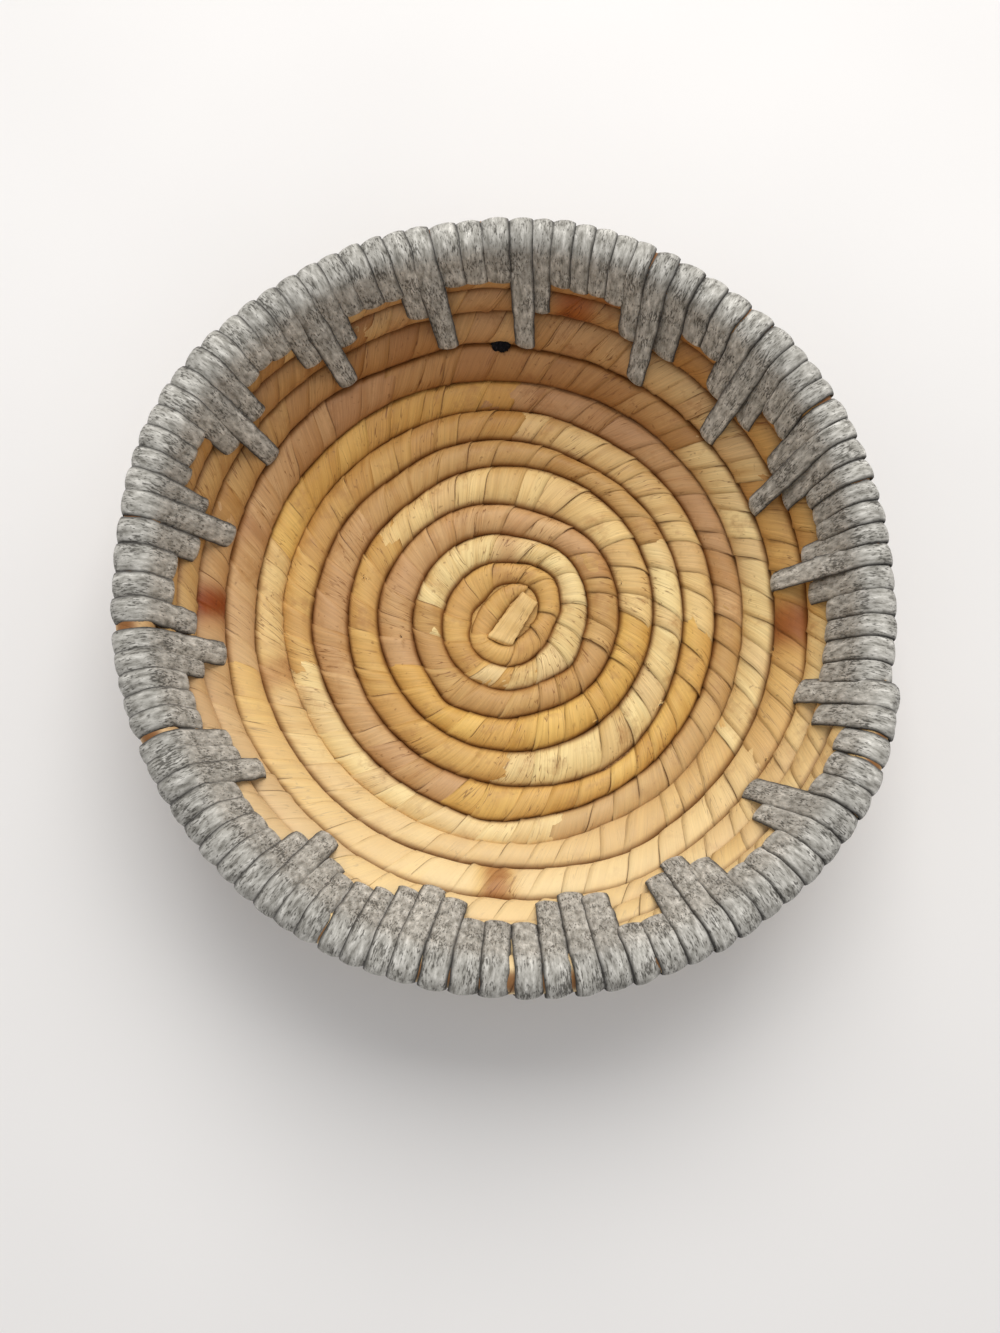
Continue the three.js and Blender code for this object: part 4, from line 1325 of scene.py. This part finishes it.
class BASKET_OT_starter(bpy.types.Operator):
    """Makes the starter pad and the folded strip in the middle of the base"""
    bl_idname = "basket.starter"
    bl_label = "Starter"

    def execute(self, context):
        sizes, colours = context.scene.basket_sizes, context.scene.basket_colours
        self.pad(sizes, dried_leaf("dried palm leaf, starter pad", colours.ochre))
        self.fold(dried_leaf("dried palm leaf, folded strip", colours.straw))
        return {"FINISHED"}

    def pad(self, sizes, leaf):
        """A wound cushion beside the fold, on a closed slab that fills the first turn."""
        points, along, across, half = [], [], [], []
        steps = CUSHION_STATIONS - 1
        for i in range(CUSHION_STATIONS):
            place = i / steps * (len(CUSHION) - 1)
            k = min(int(place), len(CUSHION) - 2)
            part = smooth(place - k, -0.2, 1.2)
            x, y, half_width = (mix(p, q, part) for p, q in zip(CUSHION[k], CUSHION[k + 1]))
            half_height = CUSHION_HALF_HEIGHT - CUSHION_THINNING * (1 - half_width / CUSHION_WIDEST)
            points.append(beside_fold(x, y, CUSHION_MIDDLE))
            half.append((half_width * MM, half_height * MM, 0.0))
        for i in range(steps + 1):
            ahead = (points[min(i + 1, steps)] - points[max(i - 1, 0)]).normalized()
            along.append(Vector((ahead.y, -ahead.x, 0)))
            across.append(Vector((0, 0, 1)))
        obj = path_object("starter_pad_leaf", points, {"along": along, "across": across, "half": half})
        grown(obj, leaf_tree(), **{
            "Windings": float(CUSHION_WINDINGS), "Tuck": 0.002, "Cover": 1.5, "Leaf step": 0.0002,
            "Lifted edge": 0.0003, "Lump height": 0.0006, "Lump size": 150.0, "Wander": 0.004,
            "Squareness": 0.93, "Columns": CUSHION_STATIONS_PER_WINDING * CUSHION_WINDINGS + 1,
            "Rows": 12, "Seed": 3.3,
            "Lean": 0.0, "Leaf": leaf})
        thickened(obj, sizes.leaf_thickness)
        joined(obj, self.slab(leaf))
        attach(obj, "root")
        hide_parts("centre_starter_pad")

    def slab(self, leaf):
        """A closed slab with a bumpy top, whose outline follows the inside of the first turn."""
        mesh = bmesh.new()
        sheets = []
        for side in (1, -1):
            sheet = []
            for ring in range(1, SLAB_RINGS + 1):
                row = []
                for spoke in range(SLAB_SPOKES):
                    degrees = 360 * spoke / SLAB_SPOKES
                    # The turn that bounds the slab begins past the coil's thin first end
                    lap = degrees if degrees > COIL_START + 20 else degrees + 360
                    r, _, _, half_along, _ = coil_section(lap)
                    share = ring / SLAB_RINGS
                    bump = SLAB_BUMPS * noise.noise(Vector((share * 3, spoke / 5, side)))
                    z = SLAB_TOP + bump if side > 0 else SLAB_UNDERSIDE
                    if ring == SLAB_RINGS and side > 0:
                        z = SLAB_EDGE
                    row.append(mesh.verts.new(put((r - half_along + SLAB_LAP) * share, z, degrees)))
                sheet.append(row)
            middle = mesh.verts.new((0, 0, (SLAB_TOP if side > 0 else SLAB_UNDERSIDE) * MM))
            for spoke in range(SLAB_SPOKES):
                nxt = (spoke + 1) % SLAB_SPOKES
                mesh.faces.new((middle, sheet[0][spoke], sheet[0][nxt])[::side])
                for inner, outer in zip(sheet, sheet[1:]):
                    mesh.faces.new((inner[spoke], outer[spoke], outer[nxt], inner[nxt])[::side])
            sheets.append(sheet)
        top = sheets[0][-1]
        bottom = sheets[1][-1]
        for spoke in range(SLAB_SPOKES):
            nxt = (spoke + 1) % SLAB_SPOKES
            mesh.faces.new((top[spoke], bottom[spoke], bottom[nxt], top[nxt]))
        bmesh.ops.recalc_face_normals(mesh, faces=mesh.faces)
        layer = mesh.loops.layers.uv.new("leaf_map")
        for face in mesh.faces:
            face.smooth = True
            for loop in face.loops:
                loop[layer].uv = (loop.vert.co.x, loop.vert.co.y)
        data = bpy.data.meshes.new("starter slab")
        mesh.to_mesh(data)
        mesh.free()
        data.materials.append(leaf)
        slab = bpy.data.objects.new("starter slab", data)
        bpy.context.scene.collection.objects.link(slab)
        return slab

    def fold(self, leaf):
        """One strip folded back and forth in three layers, which lean towards its left end."""
        left, right = FOLD_ENDS
        spots = []
        for layer, z in enumerate(FOLD_LAYERS):
            xs = [mix(left, right, i / (FOLD_STATIONS - 1)) for i in range(FOLD_STATIONS)]
            if layer % 2:
                xs = xs[::-1]
            for i, x in enumerate(xs):
                side = mix(*FOLD_MIDDLES, (x - left) / (right - left))
                spots.append((x, side, z + FOLD_WAVE * math.sin(i * 0.9 + layer)))
            if z < FOLD_LAYERS[-1]:
                end = xs[-1] + math.copysign(FOLD_BEND, xs[-1])
                spots.append((end, side, mix(z, FOLD_LAYERS[layer + 1], 0.5)))
        points = [beside_fold(*spot) for spot in spots]
        ahead = beside_fold(1, 0, 0).normalized()
        square = beside_fold(0, 1, 0).normalized()
        sideways, outwards, numbers = [], [], []
        for i, (x, y, z) in enumerate(spots):
            part = clamp((x - left) / (right - left))
            run = (points[min(i + 1, len(points) - 1)] - points[max(i - 1, 0)]).normalized()
            sideways.append(square - ahead * FOLD_SLANT * (1 - part))
            outwards.append(run.cross(square))
            width = mix(*FOLD_HALF_WIDTHS, part) * (1 + FOLD_WAVER * math.sin(i * 2.1))
            numbers.append((width * MM, 1.0, 0.0))
        for end in (0, -1):
            numbers[end] = (numbers[end][0] * FOLD_LAST_WIDTH, FOLD_LAST_THICKNESS, 0.0)
        obj = path_object("starter_folded_strip", points, {
            "sideways": sideways, "outwards": outwards, "sizes": numbers})
        grown(obj, ribbon_tree(), **{
            "Thickness": 0.0005, "Crown": 0.0004, "Unevenness": 0.0007, "Unevenness size": 260.0,
            "Columns": 3 * len(points), "Rows": 25, "Seed": 1.9, "Ribbon": leaf})
        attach(obj, "root")
        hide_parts("centre_starter_fold")


# The dark tied end: its angle and turn, its seat as a share of the coil's half height, half sizes in mm
KNOT_ANGLE = 91.6
KNOT_TURN = 8
KNOT_SEAT = 0.62
KNOT_HALF_LENGTH = 3.0
KNOT_HALF_WIDTH = 2.6
KNOT_HALF_HEIGHT = 1.9


class BASKET_OT_tail_knot(bpy.types.Operator):
    """Makes the dark tied end of the ribbon"""
    bl_idname = "basket.tail_knot"
    bl_label = "Tail knot"

    def execute(self, context):
        material = black_fibre()
        r, z, tilt, half_along, half_across = coil_section(KNOT_ANGLE + 360 * KNOT_TURN)
        along, across = directions(tilt, KNOT_ANGLE)
        seat = put(r, z, KNOT_ANGLE) + along * (half_along * MM) + across * (half_across * KNOT_SEAT * MM)
        round_way = along.cross(across)
        mesh = bmesh.new()
        bmesh.ops.create_icosphere(mesh, subdivisions=5, radius=1)
        for vert in mesh.verts:
            place = vert.co.copy()
            # Large lumps and small ones, as a tuft of cut ends has
            place *= 1 + 0.42 * noise.noise(place * 1.7) + 0.16 * noise.noise(place * 6)
            vert.co = seat + (round_way * place.x * KNOT_HALF_LENGTH + along * place.y * KNOT_HALF_WIDTH
                              + across * place.z * KNOT_HALF_HEIGHT) * MM
        for face in mesh.faces:
            face.smooth = True
        data = bpy.data.meshes.new("ribbon_tail")
        mesh.to_mesh(data)
        mesh.free()
        data.materials.append(material)
        obj = bpy.data.objects.new("ribbon_tail_tuft", data)
        context.scene.collection.objects.link(obj)
        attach(obj, "root")
        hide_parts("ribbon_tail_knot")
        return {"FINISHED"}


# The stage: metres for the table and the window light, millimetres for the camera
TABLE_HALF = 3
LAMP_PLACE = (0.1, 0.9, 1.18)
LAMP_WIDTH = 1.1
LAMP_HEIGHT = 1.0
LAMP_WATTS = 17.5
CAMERA_PLACE = (-15.52, -73.58, 408.35)
CAMERA_TARGET = (-2.546, -15.551, 4.2)
SENSOR_WIDTH = 36
LENS = 35.11


class BASKET_OT_stage(bpy.types.Operator):
    """Sets the pale table, the window light and the camera"""
    bl_idname = "basket.stage"
    bl_label = "Stage"

    def execute(self, context):
        scene = context.scene
        mesh = bpy.data.meshes.new("table")
        corners = [(x * TABLE_HALF, y * TABLE_HALF, 0) for x, y in ((-1, -1), (1, -1), (1, 1), (-1, 1))]
        mesh.from_pydata(corners, [], [(0, 1, 2, 3)])
        mesh.materials.append(pale_table())
        table = bpy.data.objects.new("table", mesh)
        scene.collection.objects.link(table)

        # A soft room that grows lighter from the floor up, and a white page where the camera looks past
        world = bpy.data.worlds.new("soft room")
        scene.world = world
        world.use_nodes = True
        tree = world.node_tree
        tree.nodes.clear()
        rays = add(tree, "ShaderNodeLightPath").outputs
        seen = add(tree, "ShaderNodeMath", {0: rays["Is Camera Ray"], 1: rays["Is Glossy Ray"]},
                   operation="MAXIMUM").outputs[0]
        seen = add(tree, "ShaderNodeMath", {0: seen, 1: rays["Is Transmission Ray"]},
                   operation="MAXIMUM").outputs[0]
        above = add(tree, "ShaderNodeTexCoord").outputs["Generated"]
        above = add(tree, "ShaderNodeSeparateXYZ", {0: above}).outputs["Z"]
        above = add(tree, "ShaderNodeMapRange", {
            "Value": above, "From Min": 0.0, "From Max": 0.5, "To Min": 0.14, "To Max": 0.66},
            interpolation_type="SMOOTHSTEP").outputs[0]
        room = add(tree, "ShaderNodeBackground", {"Color": linear("#f4f4f6"), "Strength": above})
        page = add(tree, "ShaderNodeBackground", {"Color": linear("#ffffff"), "Strength": 1.0})
        both = add(tree, "ShaderNodeMixShader", {0: seen, 1: room.outputs[0], 2: page.outputs[0]})
        add(tree, "ShaderNodeOutputWorld", {"Surface": both.outputs[0]})

        window = bpy.data.lights.new("window", "AREA")
        window.shape = "RECTANGLE"
        window.size = LAMP_WIDTH
        window.size_y = LAMP_HEIGHT
        window.energy = LAMP_WATTS
        window.color = (1.0, 0.985, 0.96)
        lamp = bpy.data.objects.new("window", window)
        lamp.location = LAMP_PLACE
        lamp.rotation_euler = (-lamp.location).to_track_quat("-Z", "Y").to_euler()
        scene.collection.objects.link(lamp)

        view = bpy.data.cameras.new("camera")
        view.sensor_width = SENSOR_WIDTH
        view.lens = LENS
        view.clip_start = 0.01
        camera = bpy.data.objects.new("camera", view)
        place = Vector(CAMERA_PLACE) * MM
        target = Vector(CAMERA_TARGET) * MM
        ahead = (target - place).normalized()
        right = ahead.cross(Vector((0, 1, 0))).normalized()
        up = right.cross(ahead)
        camera.matrix_world = Matrix((right, up, -ahead)).transposed().to_4x4()
        camera.location = place
        scene.collection.objects.link(camera)
        scene.camera = camera

        scene.view_settings.view_transform = "Standard"
        return {"FINISHED"}


class BASKET_PT_panel(bpy.types.Panel):
    """Lists the basket's pieces, sizes and colours"""
    bl_idname = "BASKET_PT_panel"
    bl_label = "Coiled basket"
    bl_space_type = "VIEW_3D"
    bl_region_type = "UI"
    bl_category = "Basket"

    def draw(self, context):
        for group in (context.scene.basket_sizes, context.scene.basket_colours):
            for key in group.__annotations__:
                self.layout.prop(group, key)
        for operator in OPERATORS:
            self.layout.operator(operator.bl_idname)


OPERATORS = (BASKET_OT_rope, BASKET_OT_leaf_strips, BASKET_OT_trim_ribbon, BASKET_OT_starter,
             BASKET_OT_tail_knot, BASKET_OT_stage)
CLASSES = (BasketSizes, BasketColours, *OPERATORS, BASKET_PT_panel)


def register():
    for cls in CLASSES:
        bpy.utils.register_class(cls)
    bpy.types.Scene.basket_sizes = bpy.props.PointerProperty(type=BasketSizes)
    bpy.types.Scene.basket_colours = bpy.props.PointerProperty(type=BasketColours)


def unregister():
    del bpy.types.Scene.basket_colours
    del bpy.types.Scene.basket_sizes
    for cls in reversed(CLASSES):
        bpy.utils.unregister_class(cls)


def main():
    register()
    bpy.ops.basket.rope()
    bpy.ops.basket.leaf_strips()
    bpy.ops.basket.trim_ribbon()
    bpy.ops.basket.starter()
    bpy.ops.basket.tail_knot()
    bpy.ops.basket.stage()


if __name__ == "__main__":
    main()
